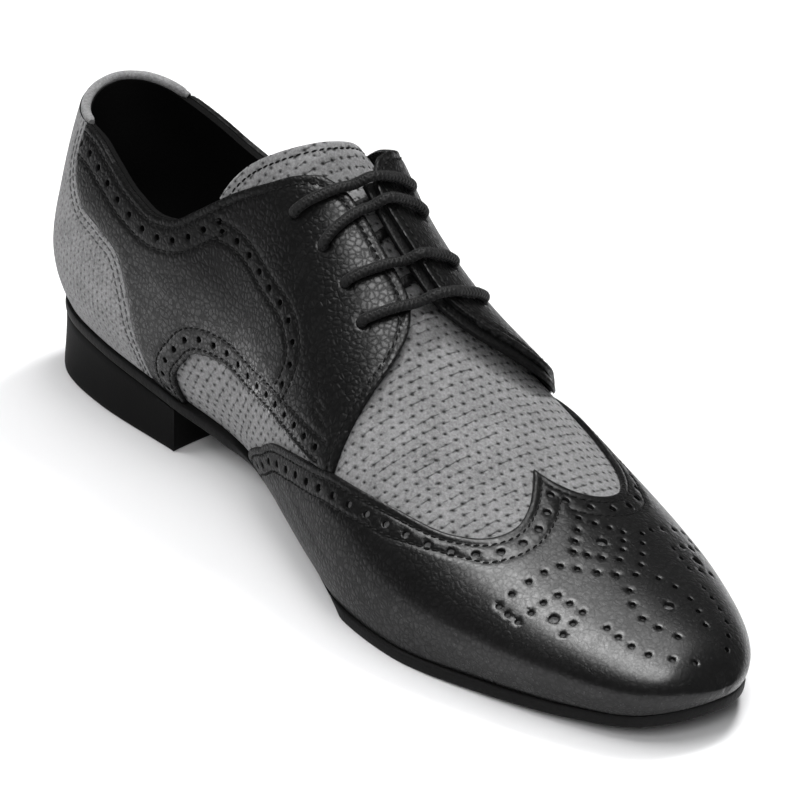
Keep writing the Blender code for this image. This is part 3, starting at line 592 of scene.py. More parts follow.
# Outlines, as stations and levels on the last
cutLines = dict(
    innerBack=[(0, -0.434), (0.008, -0.441), (0.030, -0.455), (0.064, -0.466)],
    outerBack=[(0, 0.434), (0.008, 0.424), (0.026, 0.424), (0.046, 0.440), (0.064, 0.466)],
    innerCollar=[(0.064, -0.466), (0.100, -0.478), (0.134, -0.505), (0.180, -0.546), (0.217, -0.561),
                 (0.245, -0.546), (0.275, -0.497), (0.301, -0.442)],
    outerCollar=[(0.064, 0.466), (0.100, 0.515), (0.138, 0.558), (0.180, 0.585), (0.217, 0.588),
                 (0.245, 0.570), (0.275, 0.522), (0.301, 0.460)],
    innerFacingTop=[(0.301, -0.442), (0.359, -0.287), (0.388, -0.161)],
    outerFacingTop=[(0.301, 0.460), (0.340, 0.355), (0.368, 0.285), (0.385, 0.228)],
    innerFacing=[(0.388, -0.161, 1.5), (0.403, -0.092, 2.0), (0.424, -0.046, 2.0), (0.490, -0.040, 1.6),
                 (0.524, -0.050, 1.8), (0.548, -0.103, 2.0), (0.563, -0.190, 1.6), (0.570, -0.320, 0.8),
                 (0.573, -0.450, 0.0), (0.577, -0.558, 0.0)],
    outerFacing=[(0.385, 0.228, 6.2), (0.395, 0.160, 6.6), (0.405, 0.092, 6.4), (0.424, 0.044, 5.7),
                 (0.490, 0.042, 5.2), (0.538, 0.056, 5.4), (0.566, 0.110, 5.6), (0.590, 0.190, 6.2),
                 (0.609, 0.280, 5.8), (0.600, 0.420, 1.8), (0.577, 0.558, 0.0)],
    wingRear=[(0.371, 1.0), (0.400, 0.860), (0.441, 0.746), (0.497, 0.669), (0.551, 0.597)],
    innerWing=[(0.577, -0.558), (0.655, -0.460), (0.722, -0.371), (0.746, -0.307), (0.756, -0.201),
               (0.745, -0.118), (0.722, -0.033), (0.711, 0.0)],
    outerWing=[(0.577, 0.558), (0.655, 0.455), (0.722, 0.372), (0.755, 0.266), (0.760, 0.169),
               (0.751, 0.094), (0.731, 0.034), (0.711, 0.0)],
    window=[(0.551, 0.597), (0.450, 0.668), (0.386, 0.710), (0.336, 0.724), (0.289, 0.755),
            (0.266, 0.846), (0.262, 1.0)],
    counter=[(0.064, 0.466), (0.068, 0.560), (0.095, 0.626), (0.134, 0.645), (0.171, 0.672),
             (0.192, 0.732), (0.209, 0.843), (0.211, 1.0)],
    throat=[(0.301, 0.450), (0.345, 0.385), (0.400, 0.345), (0.466, 0.318), (0.518, 0.300),
            (0.538, 0.220), (0.541, 0.0)],
    tongueTop=[(0.288, -0.458), (0.297, -0.409), (0.310, -0.354), (0.326, -0.297), (0.343, -0.230),
               (0.358, -0.152), (0.368, -0.070), (0.372, 0.005), (0.373, 0.070), (0.371, 0.125),
               (0.367, 0.180), (0.363, 0.235), (0.356, 0.290), (0.342, 0.345), (0.322, 0.400), (0.298, 0.452)],
    tongueSide=[(0.298, 0.452), (0.400, 0.385), (0.500, 0.350), (0.560, 0.230), (0.575, 0.0),
                (0.560, -0.230), (0.500, -0.350), (0.400, -0.385), (0.288, -0.458)])
lay = dict(cap=0.0, capFoot=-1.4, wall=-1.7, wallInside=-3.7, quarter=0.4, innerReach=34.0, outerReach=46.0,
           fade=1.5, nearest=0.5, pull=-6.0)  # heights over the last, and how the facings' lift spreads
sides = {"Inner": -1, "Outer": 1}


def flat(value):
    return lambda turn, level: np.full(len(turn), float(value))


def facingLift(turn, level):
    points = lastPoint(turn, level)
    lift = np.zeros(len(points))
    for name in ("inner", "outer"):
        rows, reach = cutLines[name + "Facing"], lay[name + "Reach"]
        line = stroke(rows, 1.6)
        way = spot(line[:, :2])
        apart = np.sqrt(np.maximum((points ** 2).sum(1)[:, None] + (way ** 2).sum(1) - 2 * points @ way.T, 0))
        pull = (apart + lay["nearest"]) ** lay["pull"]  # near stretches count most, so the lift stays smooth
        rise = (pull * line[:, 2] * np.clip(1 - apart / reach, 0, 1) ** lay["fade"]).sum(1) / pull.sum(1)
        lift = np.maximum(lift, np.where(np.sign(level) * rows[0][1] >= 0, rise, 0))
    return lift


def liftedFrom(base):
    return lambda turn, level: lay[base] + facingLift(turn, level)


quarterSkin, quarterFoot = liftedFrom("quarter"), liftedFrom("capFoot")

# Soft creases, placed one by one: line, depth and width
creaseLines = dict(
    quarter=[([(0.185, 0.665), (0.235, 0.650), (0.290, 0.615)], 0.22, 2.6),
             ([(0.205, 0.700), (0.255, 0.690), (0.310, 0.655)], 0.20, 3.0),
             ([(0.300, 0.560), (0.345, 0.590), (0.390, 0.630)], 0.22, 4.0)],
    wing=[([(0.430, 0.800), (0.470, 0.830), (0.520, 0.880)], 0.40, 2.0),
          ([(0.460, 0.760), (0.510, 0.800), (0.570, 0.840)], 0.40, 2.2),
          ([(0.500, 0.720), (0.560, 0.760), (0.620, 0.800)], 0.30, 2.2)],
    vamp=[([(0.625, 0.300), (0.645, 0.010), (0.630, -0.300)], 0.30, 3.0),
          ([(0.668, 0.240), (0.682, 0.010), (0.670, -0.240)], 0.25, 2.6),
          ([(0.590, 0.330), (0.605, 0.200), (0.600, 0.080)], 0.25, 2.4)])


def creasesOf(key, *signs):
    return [(stroke(onSide(sign, rows)), depth, width) for rows, depth, width in creaseLines[key] for sign in signs]


# The upper: grey nubuck outside, black lining inside
def upperLoop():
    inner, outer = cutLines["innerCollar"], cutLines["outerCollar"]
    back = cutLines["outerBack"][0][1]
    throat = cutLines["throat"][1:]
    rim = (cutLines["outerBack"], outer, [outer[-1], *throat], [*onSide(-1, throat)[::-1], inner[-1]],
           inner[::-1], cutLines["innerBack"][::-1])
    return joined(chartLine((0, -1), (1, -1), (1, 0), (1, 1), (0, 1), (0, back)),
                  *[stroke(rows, 1.4) for rows in rim], chartLine((0, -back), (0, -1)))


def poreChart(turn, level):
    along, _, height = lastPoint(turn, level).T
    lean = math.radians(nubuck["lean"])  # rows of pores stand square to the slope of the instep
    return lengthAcross(turn, level), along * math.cos(lean) - height * math.sin(lean)


upperMesh, turn, level = makePanel("upper", upperLoop(), 1.5, flat(lay["wall"]), flat(lay["wallInside"]),
                                   creases=creasesOf("vamp", 1), weld=True)
hidden = (shareOf(turn) < 0.50) & (np.abs(level) < 0.60)  # lining under the quarters: no grey past their edges
for face in upperMesh.polygons:
    face.material_index = 1 if hidden[face.vertices[0]] else face.material_index
layMap(upperMesh, "poreMap", *poreChart(turn, level))
paintPoints(upperMesh, "pores", 1.0)
addPiece("upper", upperMesh, ["upper"], "nubuck", suede, lining)

# Brogue work: rows of holes and stitching laid in from an edge
brogue = dict(edgeSeam=2.4, holes=5.4, innerSeam=8.4, pitch=7.3, hole=1.15)
# Each bar of the lace: inner eyelet, station on the ridge, outer eyelet
eyelets = [(0.401, -0.255, 0.423, 0.425, 0.195), (0.443, -0.220, 0.445, 0.450, 0.193),
           (0.482, -0.215, 0.498, 0.500, 0.200), (0.518, -0.228, 0.537, 0.534, 0.240)]
darkSeams, greySeams = [], []  # rows to sew: line, skin


def placesOf(rows):
    rows = np.asarray(rows, float)
    return np.column_stack([turnOf(rows[:, 0]), rows[:, 1]]) * chartScale


quarterCut = dict(toplineSeam=2.4, collarHoles=6.0, lowerSeam=9.6, windowSeam=1.6, windowHoles=4.8, windowOuter=8.0,
                  facingSeam=2.6, pitch=7.0, windowPitch=6.6, hole=1.0, eyelet=2.0, rim=0.8, tuck=0.5, band=2.9,
                  bandLine=[(0.303, -0.500), (0.337, -0.477), (0.391, -0.467), (0.444, -0.452),
                            (0.461, -0.477), (0.464, -0.540), (0.456, -0.600)],
                  tacks=[[(0.520, -0.478), (0.536, -0.474)], [(0.523, -0.500), (0.539, -0.496)]])


def makeQuarter(name, sign):
    key, cut = name.lower(), quarterCut
    collar, facingTop, facing, wing = (cutLines[key + part] for part in ("Collar", "FacingTop", "Facing", "Wing"))
    window, counter = onSide(sign, cutLines["window"]), onSide(sign, cutLines["counter"])
    edges = dict(collar=stroke(collar), free=stroke([*facingTop, *[row[:2] for row in facing[1:]]]),
                 tip=stroke([wing[0], window[0]]), window=stroke(window),
                 foot=stroke([window[-1], counter[-1]], 1.6), counter=stroke(counter[::-1]))
    loop = joined(*edges.values())

    def laidIn(edge, row):  # the panel lies on this side of each edge
        return shift(edges[edge], sign * cut[row])

    band = stroke(onSide(-sign, cut["bandLine"]))
    seams = [laidIn("collar", "toplineSeam"), laidIn("collar", "lowerSeam"), laidIn("window", "windowSeam"),
             laidIn("window", "windowOuter"), laidIn("free", "facingSeam"), shift(band, cut["band"]),
             shift(band, -cut["band"]), *[stroke(onSide(-sign, rows)) for rows in cut["tacks"]]]
    seams = [line[inside(line, loop)] for line in seams]
    punched = [*dots(band, cut["pitch"], 3.5), *dots(laidIn("collar", "collarHoles"), cut["pitch"], 2.0),
               *dots(laidIn("window", "windowHoles"), cut["windowPitch"], 3.0)]
    holes = [(c, cut["eyelet"]) for c in placesOf([row[:2] if sign < 0 else row[3:] for row in eyelets])]
    holes += [(c, cut["hole"]) for c in punched]
    rims = [(edges[edge], cut["rim"], 0.0) for edge in ("collar", "free", "window")]
    rims += [(edges[edge], cut["tuck"], cut["tuck"]) for edge in ("counter", "tip")]  # these dip under a neighbour
    mesh, turn, level = makePanel("quarter" + name, loop, 1.0, quarterSkin, quarterFoot, holes, rims, seams,
                                  creasesOf("quarter", sign), sewn=darkSeams)
    paintPoints(mesh, "grain", np.interp(shareOf(turn), [0.30, 0.42], [0.82, 1.0]))
    low = np.interp(np.abs(level), [0.58, 0.69], [0.4, 3.0])  # the foot of the quarter mirrors the floor
    paintPoints(mesh, "gloss", np.interp(shareOf(turn), [0.25, 0.36, 0.43], [0.3, 0.5, 1.0]) * low)
    addPiece("quarter" + name, mesh, ["quarter_" + key], "leather", leather, leather)


for name, sign in sides.items():
    makeQuarter(name, sign)

# A second layer under the far facing, which shows past its edge
backing = dict(reach=2.8, tuck=3.0, drop=2.0, thick=1.2)


def backingSkin(turn, level):
    line = stroke(cutLines["outerFacing"], 0.8)
    apart, where = nearTo(lastPoint(turn, level), spot(line[:, :2]))
    lift = line[where, 2] * np.clip(1 - apart / lay["outerReach"], 0, 1) ** lay["fade"]
    return lift + lay["quarter"] - backing["drop"]


def makeBacking():
    line = stroke(cutLines["outerFacing"][3:-1], 1.0)[:, :2]
    out, tucked = shift(line, -backing["reach"], 1.0), shift(line, backing["tuck"], 1.0)
    loop = joined(out, evenly(np.array([out[-1], tucked[-1]]), 1.0), tucked[::-1],
                  evenly(np.array([tucked[0], out[0]]), 1.0))
    mesh, turn, level = makePanel("facingBacking", loop, 1.0, backingSkin,
                                  lambda t, b: backingSkin(t, b) - backing["thick"], (), [(out, 0.6, 0.0)])
    paintPoints(mesh, "grain", 0.2)
    paintPoints(mesh, "gloss", 0.0)
    addPiece("facingBacking", mesh, [], "leather", leather, leather)


makeBacking()

# The wing cap with its medallion: half of the pattern, mirrored over the ridge
medallion = dict(
    big=[(235.6, 0.0), (248.0, 0.41), (264.4, 0.0)], bigHole=1.5, hole=0.85,
    small=[(225.5, 0.0), (228.9, 0.042), (231.8, 0.083), (234.5, 0.120), (237.4, 0.090), (240.3, 0.053),
           (243.2, 0.0), (250.1, 0.0), (247.4, 0.068), (243.8, 0.118), (239.8, 0.163), (236.3, 0.200),
           (235.2, 0.262), (234.7, 0.332), (234.1, 0.417), (233.8, 0.494), (237.3, 0.506), (241.0, 0.512),
           (243.3, 0.305), (242.3, 0.370), (242.0, 0.440), (247.5, 0.306), (252.0, 0.307), (252.8, 0.380),
           (253.3, 0.460), (254.0, 0.085), (258.6, 0.130), (264.2, 0.156), (269.4, 0.144), (275.0, 0.113),
           (260.5, 0.310), (264.8, 0.320), (269.5, 0.329), (274.7, 0.324), (280.0, 0.270), (284.0, 0.190)])


def bothSides(rows):
    return placesOf([(d / lastForm["length"], s * b) for d, b in rows for s in ((1, -1) if b else (1,))])


wingFoot = dict(side=0.9, toe=2.2)  # steps along the feather edge and up the toe


def makeWingCap():
    halves = {}
    for name, sign in sides.items():
        rear, wing = onSide(sign, cutLines["wingRear"]), cutLines[name.lower() + "Wing"]
        halves[sign] = np.concatenate([stroke(rear)[:-1], stroke([rear[-1], wing[0]])[:-1], stroke(wing)])
    edge = np.concatenate([halves[-1][:-1], halves[1][::-1]])
    rearTurn = turnOf(cutLines["wingRear"][0][0])
    loop = joined(edge, chartLine((rearTurn, 1), (1, 1), step=wingFoot["side"]),
                  chartLine((1, 1), (1, 0), (1, -1), step=wingFoot["toe"]),
                  chartLine((1, -1), (rearTurn, -1), step=wingFoot["side"]))

    def laidIn(row, past):  # a row of each half, up to the ridge or just past it
        lines = [(sign, shift(half, sign * brogue[row])) for sign, half in halves.items()]
        return [line[sign * line[:, 1] > -past] for sign, line in lines]

    holes = [(c, brogue["hole"]) for line in laidIn("holes", 0) for c in dots(line, brogue["pitch"], 2.0)]
    holes += [(c, medallion["bigHole"]) for c in bothSides(medallion["big"])]
    holes += [(c, medallion["hole"]) for c in bothSides(medallion["small"])]
    seams = [*laidIn("edgeSeam", 0.2), *laidIn("innerSeam", 0.2)]
    mesh, turn, level = makePanel("wingCap", loop, 1.05, flat(lay["cap"]), flat(lay["capFoot"]), holes,
                                  [(edge, 0.7, 0.0)], seams, creasesOf("wing", 1, -1), weld=True, sewn=darkSeams)
    share = shareOf(turn)
    paintPoints(mesh, "grain", np.interp(share, [0.5, 0.66, 0.78, 1.0], [0.85, 0.78, 0.58, 0.42]))
    paintPoints(mesh, "gloss", np.interp(share, [0.5, 0.68, 0.8], [0.22, 0.45, 0.85]))
    addPiece("wingCap", mesh, ["wing_cap"], "leather", leather, leather)


makeWingCap()

# The heel counter goes round the back of the heel on one chart, the inner side at minus turns
counterCut = dict(rim=0.6, seams=(2.0, 4.4), poreScale=1.35, poreLevel=0.7, pores=0.45)


def makeCounter():
    outerEdge, top, innerTop = (stroke(cutLines[key]) for key in ("counter", "outerBack", "innerBack"))
    foot = stroke([cutLines["counter"][-1], (0, 1)], 1.6)
    flip = np.array([-1, 1])
    loop = joined(top, outerEdge, foot, foot[::-1] * flip, outerEdge[::-1] * flip, -innerTop[::-1])
    rims, seams = [], []
    for line in (outerEdge, (outerEdge * flip)[::-1]):
        rims.append((line, counterCut["rim"], 0.0))
        seams += [shift(line, distance) for distance in counterCut["seams"]]
    mesh, turn, level = makePanel("heelCounter", loop, 1.1, flat(lay["cap"]), flat(lay["capFoot"]), (), rims, seams,
                                  sewn=greySeams)
    layMap(mesh, "poreMap", lengthAcross(np.abs(turn), level) * counterCut["poreScale"],
           np.sign(turn) * lengthAlong(np.abs(turn), counterCut["poreLevel"]) * counterCut["poreScale"])
    paintPoints(mesh, "pores", counterCut["pores"])
    addPiece("heelCounter", mesh, ["heel_counter"], "nubuck", suede, lining)


makeCounter()


# Tubes: a circle carried along a path
def makeTube(name, path, radii, sides, beside, mapName):
    path = np.asarray(path, float)
    radii = np.broadcast_to(radii, len(path))
    ahead = unit(np.gradient(path, axis=0))
    side = unit(np.cross(ahead, beside))
    over = np.cross(ahead, side)
    bm = bmesh.new()
    step = bm.verts.layers.int.new("step")
    turnTag = bm.verts.layers.float.new("around")
    ring = bmesh.ops.create_circle(bm, cap_ends=False, segments=sides, radius=1.0)["verts"]
    for v in ring:
        v[turnTag] = math.atan2(v.co.y, v.co.x)
    ring = first = sorted(ring, key=lambda v: v[turnTag])
    edges = bm.edges[:]
    for k in range(len(path)):
        if k:
            made = bmesh.ops.extrude_edge_only(bm, edges=edges)["geom"]
            ring = sorted([g for g in made if isinstance(g, bmesh.types.BMVert)], key=lambda v: v[turnTag])
            edges = [g for g in made if isinstance(g, bmesh.types.BMEdge)]
        for v in ring:
            a = v[turnTag]
            v.co = inMetres(path[k] + radii[k] * (math.cos(a) * side[k] + math.sin(a) * over[k]))
            v[step] = k
    bm.faces.new(ring)
    bm.faces.new(first)
    mesh = closed(bm, name)
    steps, around = takeLayer(mesh, "step", np.int32), takeLayer(mesh, "around", np.float32)
    layMap(mesh, mapName, travelOf(path)[steps], around / (2 * math.pi))
    return mesh


def smoothPath(marks, step):
    marks = np.asarray(marks, float)
    travel = travelOf(marks)
    at = np.linspace(0, travel[-1], round(travel[-1] / step) + 1)
    return np.stack([smoothCurve(travel, column, at) for column in marks.T], -1)


# The collar's grey roll, round the heel from tab to tab
binding = dict(radius=1.55, seat=0.5, taper=0.08, sides=14)


def makeBinding():
    inner, outer = stroke(cutLines["innerBack"], 1.0), stroke(cutLines["outerBack"], 1.0)
    line = np.concatenate([inner[:0:-1], outer])
    turn, level = (line / chartScale).T
    edge = offLast(turn, level, np.full(len(turn), lay["wallInside"] / 2))
    upward = unit(lastPoint(turn, level * 0.999) - lastPoint(turn, level))
    path = edge + upward * binding["seat"]
    part = np.linspace(-1, 1, len(path))
    radii = binding["radius"] * np.clip((1 - np.abs(part)) / binding["taper"], 0.2, 1) ** 0.3
    mesh = makeTube("collarBinding", path, radii, binding["sides"], (0.0, 0.0, 1.0), "poreMap")
    paintPoints(mesh, "pores", 0.0)
    addPiece("collarBinding", mesh, ["collar_binding"], "nubuck", suede)


makeBinding()

# The tongue
tongueLay = dict(rise=3.6, freeShare=0.41, riseShare=0.03, riseLevel=0.36, under=0.3, thick=2.0, seam=2.7)


def tongueSkin(turn, level):
    rise = np.clip((tongueLay["freeShare"] - shareOf(turn)) / tongueLay["riseShare"], 0, 1)
    middle = np.clip(1 - (level / tongueLay["riseLevel"]) ** 2, 0, 1)
    return tongueLay["rise"] * rise * middle + lay["wallInside"] - tongueLay["under"]


def makeTongue():
    top = stroke(cutLines["tongueTop"])
    loop = joined(top, stroke(cutLines["tongueSide"], 1.4))
    seam = max((shift(top, sign * tongueLay["seam"]) for sign in (1, -1)), key=lambda line: line[:, 0].mean())
    mesh, turn, level = makePanel("tongue", loop, 1.3, tongueSkin,
                                  lambda t, b: tongueSkin(t, b) - tongueLay["thick"], (), [(top, 0.9, 0.0)], [seam],
                                  sewn=darkSeams)
    layMap(mesh, "poreMap", *poreChart(turn, level))
    paintPoints(mesh, "pores", 1.0)
    addPiece("tongue", mesh, ["tongue"], "nubuck", suede, lining)


makeTongue()

# One lace: bars over the facings, and slanted runs below them from each outer eyelet to the next inner one
lace = dict(radius=1.62, clear=0.35, below=-2.5, dive=1.8, sides=14, step=0.7,
            marks=(0, 0, 0.1, 0.25, 0.4, 0.5, 0.6, 0.75, 0.9, 1, 1))


def barMarks(inShare, inLevel, ridgeShare, outShare, outLevel):
    part = np.array(lace["marks"], float)
    level = inLevel * (1 - part) + outLevel * part
    bend = np.polyfit([inLevel, 0, outLevel], turnOf([inShare, ridgeShare, outShare]), 2)
    turn = np.polyval(bend, level)
    top = quarterSkin(turn, level)
    height = top + lace["clear"] + lace["radius"]
    height[[0, -1]] = top[[0, -1]] - lace["dive"] - lace["radius"] / 2
    height[[1, -2]] = top[[1, -2]] + lace["radius"] / 2
    return offLast(turn, level, height)


def belowMarks(start, end):
    part = np.linspace(0.12, 0.88, 5)
    level = start[1] + (end[1] - start[1]) * part
    turn = turnOf(start[0]) + (turnOf(end[0]) - turnOf(start[0])) * part
    return offLast(turn, level, np.full(len(part), lace["below"]))


def makeLace():
    marks = []
    for row, follow in zip(eyelets, eyelets[1:]):
        marks += [barMarks(*row), belowMarks(row[3:], follow[:2])]
    last, first = eyelets[-1], eyelets[0]
    marks += [barMarks(*last), belowMarks((last[3] - 0.004, last[4] + 0.02), (first[3], first[4] + 0.03))]
    path = smoothPath(np.concatenate(marks), lace["step"])
    mesh = makeTube("lace", path, lace["radius"], lace["sides"], (1.0, 0.0, 0.0), "braidMap")
    addPiece("lace", mesh, [f"lace_bar_{k}" for k in range(1, 5)], "lace", braid)


makeLace()

# Sole, sock and heel, each a plate drawn over the feather edge
plate = dict(sole=3.5, gap=0.3, swell=0.45, inset=0.3, soleRows=(0.0, 0.06, 0.2, 0.5, 0.8, 0.94, 1.0),
             sockInset=4.3, sock=2.6, sockRows=((0, 0.0), (0, 0.7), (-0.3, 0.92), (-0.9, 1.0)))
soleReach = dict(  # station, growth past the feather edge, undercut at the foot
    inner=np.array([(0.0, 1.1, 0.0), (0.25, 1.1, 0.0), (0.33, 0.6, 0.0), (0.42, 0.0, 5.0),
                    (0.55, 0.0, 5.0), (0.62, 0.8, 0.0), (0.80, 1.1, 0.0), (1.0, 0.0, 0.0)]),
    outer=np.array([(0.0, 1.1, 0.0), (0.80, 1.1, 0.0), (1.0, 0.0, 0.0)]))


def seatHeight(along):
    share = np.clip(along / lastForm["length"], 0, 1)
    moved = heelCurve[0, 1] * np.clip(1 - share / lastForm["heelShare"], 0, 1) ** 2
    moved = moved - lastForm["toeTrim"] * toePart((along + lastForm["toeTrim"]) / lastForm["length"])
    return soleHeight(turnOf(np.clip((along - moved) / lastForm["length"], 0, 1)))


def featherLoop(count):
    turn = np.linspace(0, 1, count + 1)
    inner = lastPoint(turn, np.full_like(turn, -1))[:, :2]
    outer = lastPoint(turn, np.full_like(turn, 1))[:, :2]
    return np.concatenate([inner, outer[-2:0:-1]])


def grownLoop(loop, distance):
    ahead = unit(np.roll(loop, -1, axis=0) - np.roll(loop, 1, axis=0))
    return loop + np.stack([ahead[:, 1], -ahead[:, 0]], -1) * np.broadcast_to(distance, len(loop))[:, None]


def stacked(rings):  # walls between loops of the same count, from bottom to top
    bm = bmesh.new()
    count = len(rings[0])
    rows = [[bm.verts.new(p) for p in inMetres(ring)] for ring in rings]
    for lower, upper in zip(rows, rows[1:]):
        for k in range(count):
            bm.faces.new((lower[k], lower[(k + 1) % count], upper[(k + 1) % count], upper[k]))
    return bm, rows


def makePlate(name, rings):
    bm, rows = stacked(rings)
    count = len(rings[0])
    for row in (rows[0], rows[-1]):  # the caps are strips across, so they follow the curve of the sole
        for k in range(count // 2):
            corners = [row[k], row[k + 1], row[(count - k - 1) % count], row[(count - k) % count]]
            corners = list(dict.fromkeys(corners))
            if len(corners) > 2:
                bm.faces.new(corners)
    return closed(bm, name)


soleSteps = 200
featherEdge = featherLoop(soleSteps)
edgeShare = np.clip(featherEdge[:, 0] / lastForm["length"], 0, 1)
onInner = np.arange(len(featherEdge)) <= soleSteps
reachOf, underOf = (np.where(onInner, *[np.interp(edgeShare, soleReach[s][:, 0], soleReach[s][:, k])
                                        for s in ("inner", "outer")]) for k in (1, 2))
soleTop = grownLoop(featherEdge, reachOf)


def ringAtDepth(loop, growth, depth):
    ring = grownLoop(loop, growth)
    return np.column_stack([ring, seatHeight(ring[:, 0]) - depth])


def makeSole():
    rings = []
    for part in plate["soleRows"]:
        swell = plate["swell"] * math.sqrt(max(0.0, 1 - (2 * part - 1) ** 2)) - plate["inset"]
        rings.append(ringAtDepth(soleTop, swell - underOf * (1 - part), plate["gap"] + plate["sole"] * (1 - part)))
    addPiece("outsole", makePlate("outsole", rings), ["outsole"], "sole_edge", soleEdge)


def makeSock():
    loop = grownLoop(featherEdge, -plate["sockInset"])
    rings = [ringAtDepth(loop, growth, -plate["gap"] - plate["sock"] * part) for growth, part in plate["sockRows"]]
    addPiece("insole", makePlate("insole", rings), ["insole"], "lining", lining)


makeSole()
makeSock()

heelBlock = dict(share=0.25, hollow=2.5, corner=1.0, under=0.15, frontRows=26, stack=8.0, rubber=0.0004,
                 stackRows=((0.0, -0.9), (0.25, -0.3), (0.9, 0.15), (2.0, 0.3), (4.5, 0.25), (8.0, 0.0)),
                 wallRows=((0.25, -0.15), (0.5, -0.3), (0.75, -0.35), (0.93, -0.3), (1.0, -0.9)))


def makeHeel():
    h = heelBlock
    breast = h["share"] * lastForm["length"]
    half = len(soleTop) // 2 + 1
    lines = []
    for line in (soleTop[:half], np.concatenate([soleTop[:1], soleTop[:half - 1:-1]])):
        corner = (breast, np.interp(breast, line[:half - 1, 0], line[:half - 1, 1]))
        lines.append(np.concatenate([line[line[:, 0] < breast - h["corner"]], [corner]]))
    inner, outer = lines
    part = np.linspace(0, 1, h["frontRows"])[1:-1]
    hollow = breast - h["hollow"] * 4 * part * (1 - part)
    front = np.column_stack([hollow, inner[-1, 1] * (1 - part) + outer[-1, 1] * part])
    loop = np.concatenate([inner, front, outer[:0:-1]])
    tops = seatHeight(loop[:, 0]) - plate["gap"] - plate["sole"] - h["under"]
    heights = [(np.full(len(loop), z), growth) for z, growth in h["stackRows"]]
    heights += [(h["stack"] + (tops - h["stack"]) * part, growth) for part, growth in h["wallRows"]]
    bm, rows = stacked([np.column_stack([grownLoop(loop, growth), height]) for height, growth in heights])
    bm.faces.new(rows[0])
    bm.faces.new(rows[-1])
    bmesh.ops.triangulate(bm, faces=[f for f in bm.faces if len(f.verts) > 4])
    mesh = closed(bm, "heel")
    for face in mesh.polygons:
        face.material_index = int(face.center.z < h["rubber"])
    addPiece("heel", mesh, ["heel", "heel_top_piece"], "heel_stack", heelCoat, heelRubber)


makeHeel()

# Stitches, each a small spindle half sunk in its trough
sewing = dict(pitch=2.5, length=1.9, radius=0.34, sink=0.28, slant=9.0)


def sewRows(name, rows, slot, finish):
    bm = bmesh.new()
    bmesh.ops.create_uvsphere(bm, u_segments=6, v_segments=5, radius=1.0)
    spindle = np.array([v.co for v in bm.verts])
    faces = [[v.index for v in f.verts] for f in bm.faces]
    bm.free()
    points, corners = [], []
    for line, skin in rows:
        places = dots(line, sewing["pitch"], 1.0)
        turn, level = (places / chartScale).T
        centres = offLast(turn, level, skin(turn, level) - sewing["sink"])
        up = lastNormal(turn, level)
        ahead = np.gradient(centres, axis=0)
        ahead = unit(ahead - up * np.einsum("ni,ni->n", ahead, up)[:, None])
        side = np.cross(up, ahead)
        lean = math.radians(sewing["slant"])
        ahead, side = ahead * math.cos(lean) + side * math.sin(lean), side * math.cos(lean) - ahead * math.sin(lean)
        sizes = (sewing["radius"], sewing["radius"], sewing["length"] / 2)
        for c, axes in zip(centres, np.stack([side, up, ahead], 1)):
            corners += [[k + len(points) * len(spindle) for k in f] for f in faces]
            points.append(c + (spindle * sizes) @ axes)
    mesh = bpy.data.meshes.new(name)
    mesh.from_pydata([tuple(p) for p in inMetres(np.concatenate(points))], [], corners)
    addPiece(name, mesh, [], slot, finish)


sewRows("darkStitches", darkSeams, "leather", darkThread)
sewRows("greyStitches", greySeams, "nubuck", greyThread)

# Floor, light and camera
studio = dict(floor=0.96, floorSize=6.0, world=0.11, aim=(0, 0, 0.04), lamps=(
    # Name, place, size, spin, power, and whether it is for the shine alone
    ("keyBox", (-0.14, 0.56, 1.06), (0.26, 0.26), 0, 9.5, False),
    ("frontBox", (0.62, -0.72, 0.85), (0.6, 0.6), 0, 5.5, False),
    ("topBox", (0.0, 0.04, 1.15), (0.85, 0.36), 123, 6.6, False),
    ("sideBox", (-0.60, -0.62, 0.62), (0.7, 0.7), 0, 4.4, False),
    ("skyBox", (0.02, 0.03, 1.25), (1.3, 0.95), 0, 18.0, True),
    ("mirrorBox", (0.14, -0.13, 1.13), (1.35, 0.44), 134, 20.0, True)))
shot = dict(target=(-0.000733, 0.006519, 0.038), azimuth=48.85, elevation=27.46, roll=2.75, distance=1.1453,
            lens=174.48, sensor=36.0)


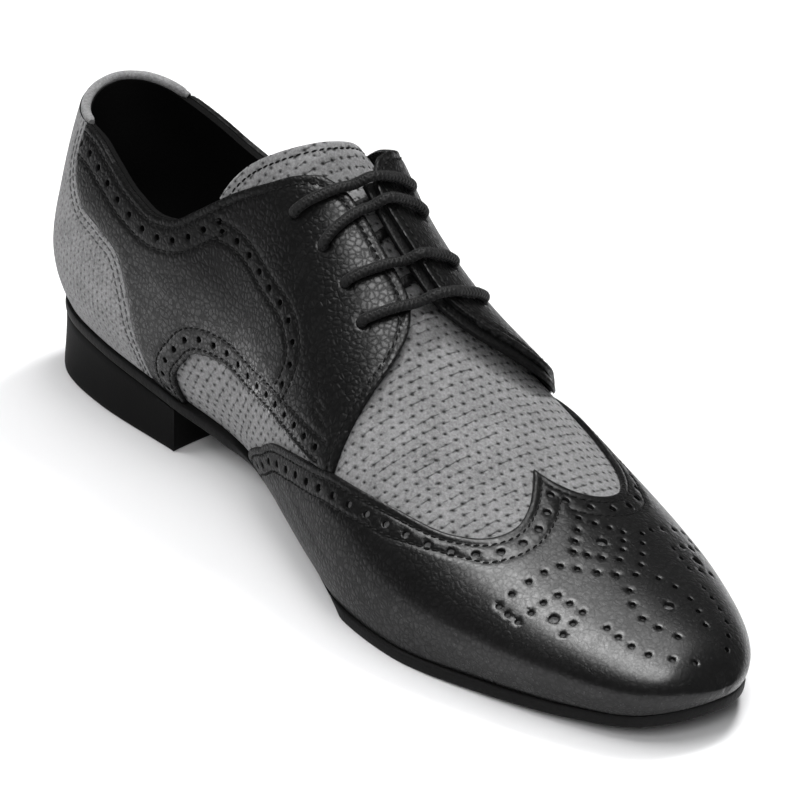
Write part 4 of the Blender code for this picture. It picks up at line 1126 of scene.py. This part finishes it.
def makeStudio():
    bm = bmesh.new()
    bmesh.ops.create_grid(bm, x_segments=4, y_segments=4, size=studio["floorSize"])
    mesh = bpy.data.meshes.new("floor")
    bm.to_mesh(mesh)
    bm.free()
    floor = bpy.data.objects.new("floor", mesh)
    bpy.context.scene.collection.objects.link(floor)
    finish, flow, shader = newFinish("paleFloor")
    flow.feed(shader, {"Base Color": grey(studio["floor"]), "Roughness": 0.9, "Specular IOR Level": 0.1})
    mesh.materials.append(finish)
    world = bpy.data.worlds.new("studioWorld")
    world.use_nodes = True
    backdrop = world.node_tree.nodes["Background"]
    Flow(world.node_tree).feed(backdrop, {"Color": (1, 1, 1, 1), "Strength": studio["world"]})
    bpy.context.scene.world = world
    for name, place, size, spin, power, mirrored in studio["lamps"]:
        data = bpy.data.lights.new(name, "AREA")
        data.shape, data.energy = "RECTANGLE", power
        data.size, data.size_y = size
        lamp = bpy.data.objects.new(name, data)
        lamp.visible_glossy, lamp.visible_diffuse = mirrored, not mirrored  # some for the shine, some for the rest
        aim = (Vector(studio["aim"]) - Vector(place)).to_track_quat("-Z", "Y").to_matrix().to_4x4()
        lamp.matrix_world = Matrix.Translation(place) @ aim @ Matrix.Rotation(math.radians(spin), 4, "Z")
        bpy.context.scene.collection.objects.link(lamp)


def makeCamera():
    a, e, r = (math.radians(shot[k]) for k in ("azimuth", "elevation", "roll"))
    back = Vector((math.sin(a) * math.cos(e), -math.cos(a) * math.cos(e), math.sin(e)))
    right = Vector((math.cos(a), math.sin(a), 0))
    up = back.cross(right)
    across = right * math.cos(r) + up * math.sin(r)
    over = up * math.cos(r) - right * math.sin(r)
    data = bpy.data.cameras.new("camera")
    data.lens, data.sensor_width = shot["lens"], shot["sensor"]
    camera = bpy.data.objects.new("camera", data)
    place = Matrix((across, over, back)).transposed().to_4x4()
    place.translation = Vector(shot["target"]) + back * shot["distance"]
    camera.matrix_world = place
    bpy.context.scene.collection.objects.link(camera)
    bpy.context.scene.camera = camera


makeStudio()
makeCamera()
bpy.context.scene.view_settings.view_transform = "Standard"
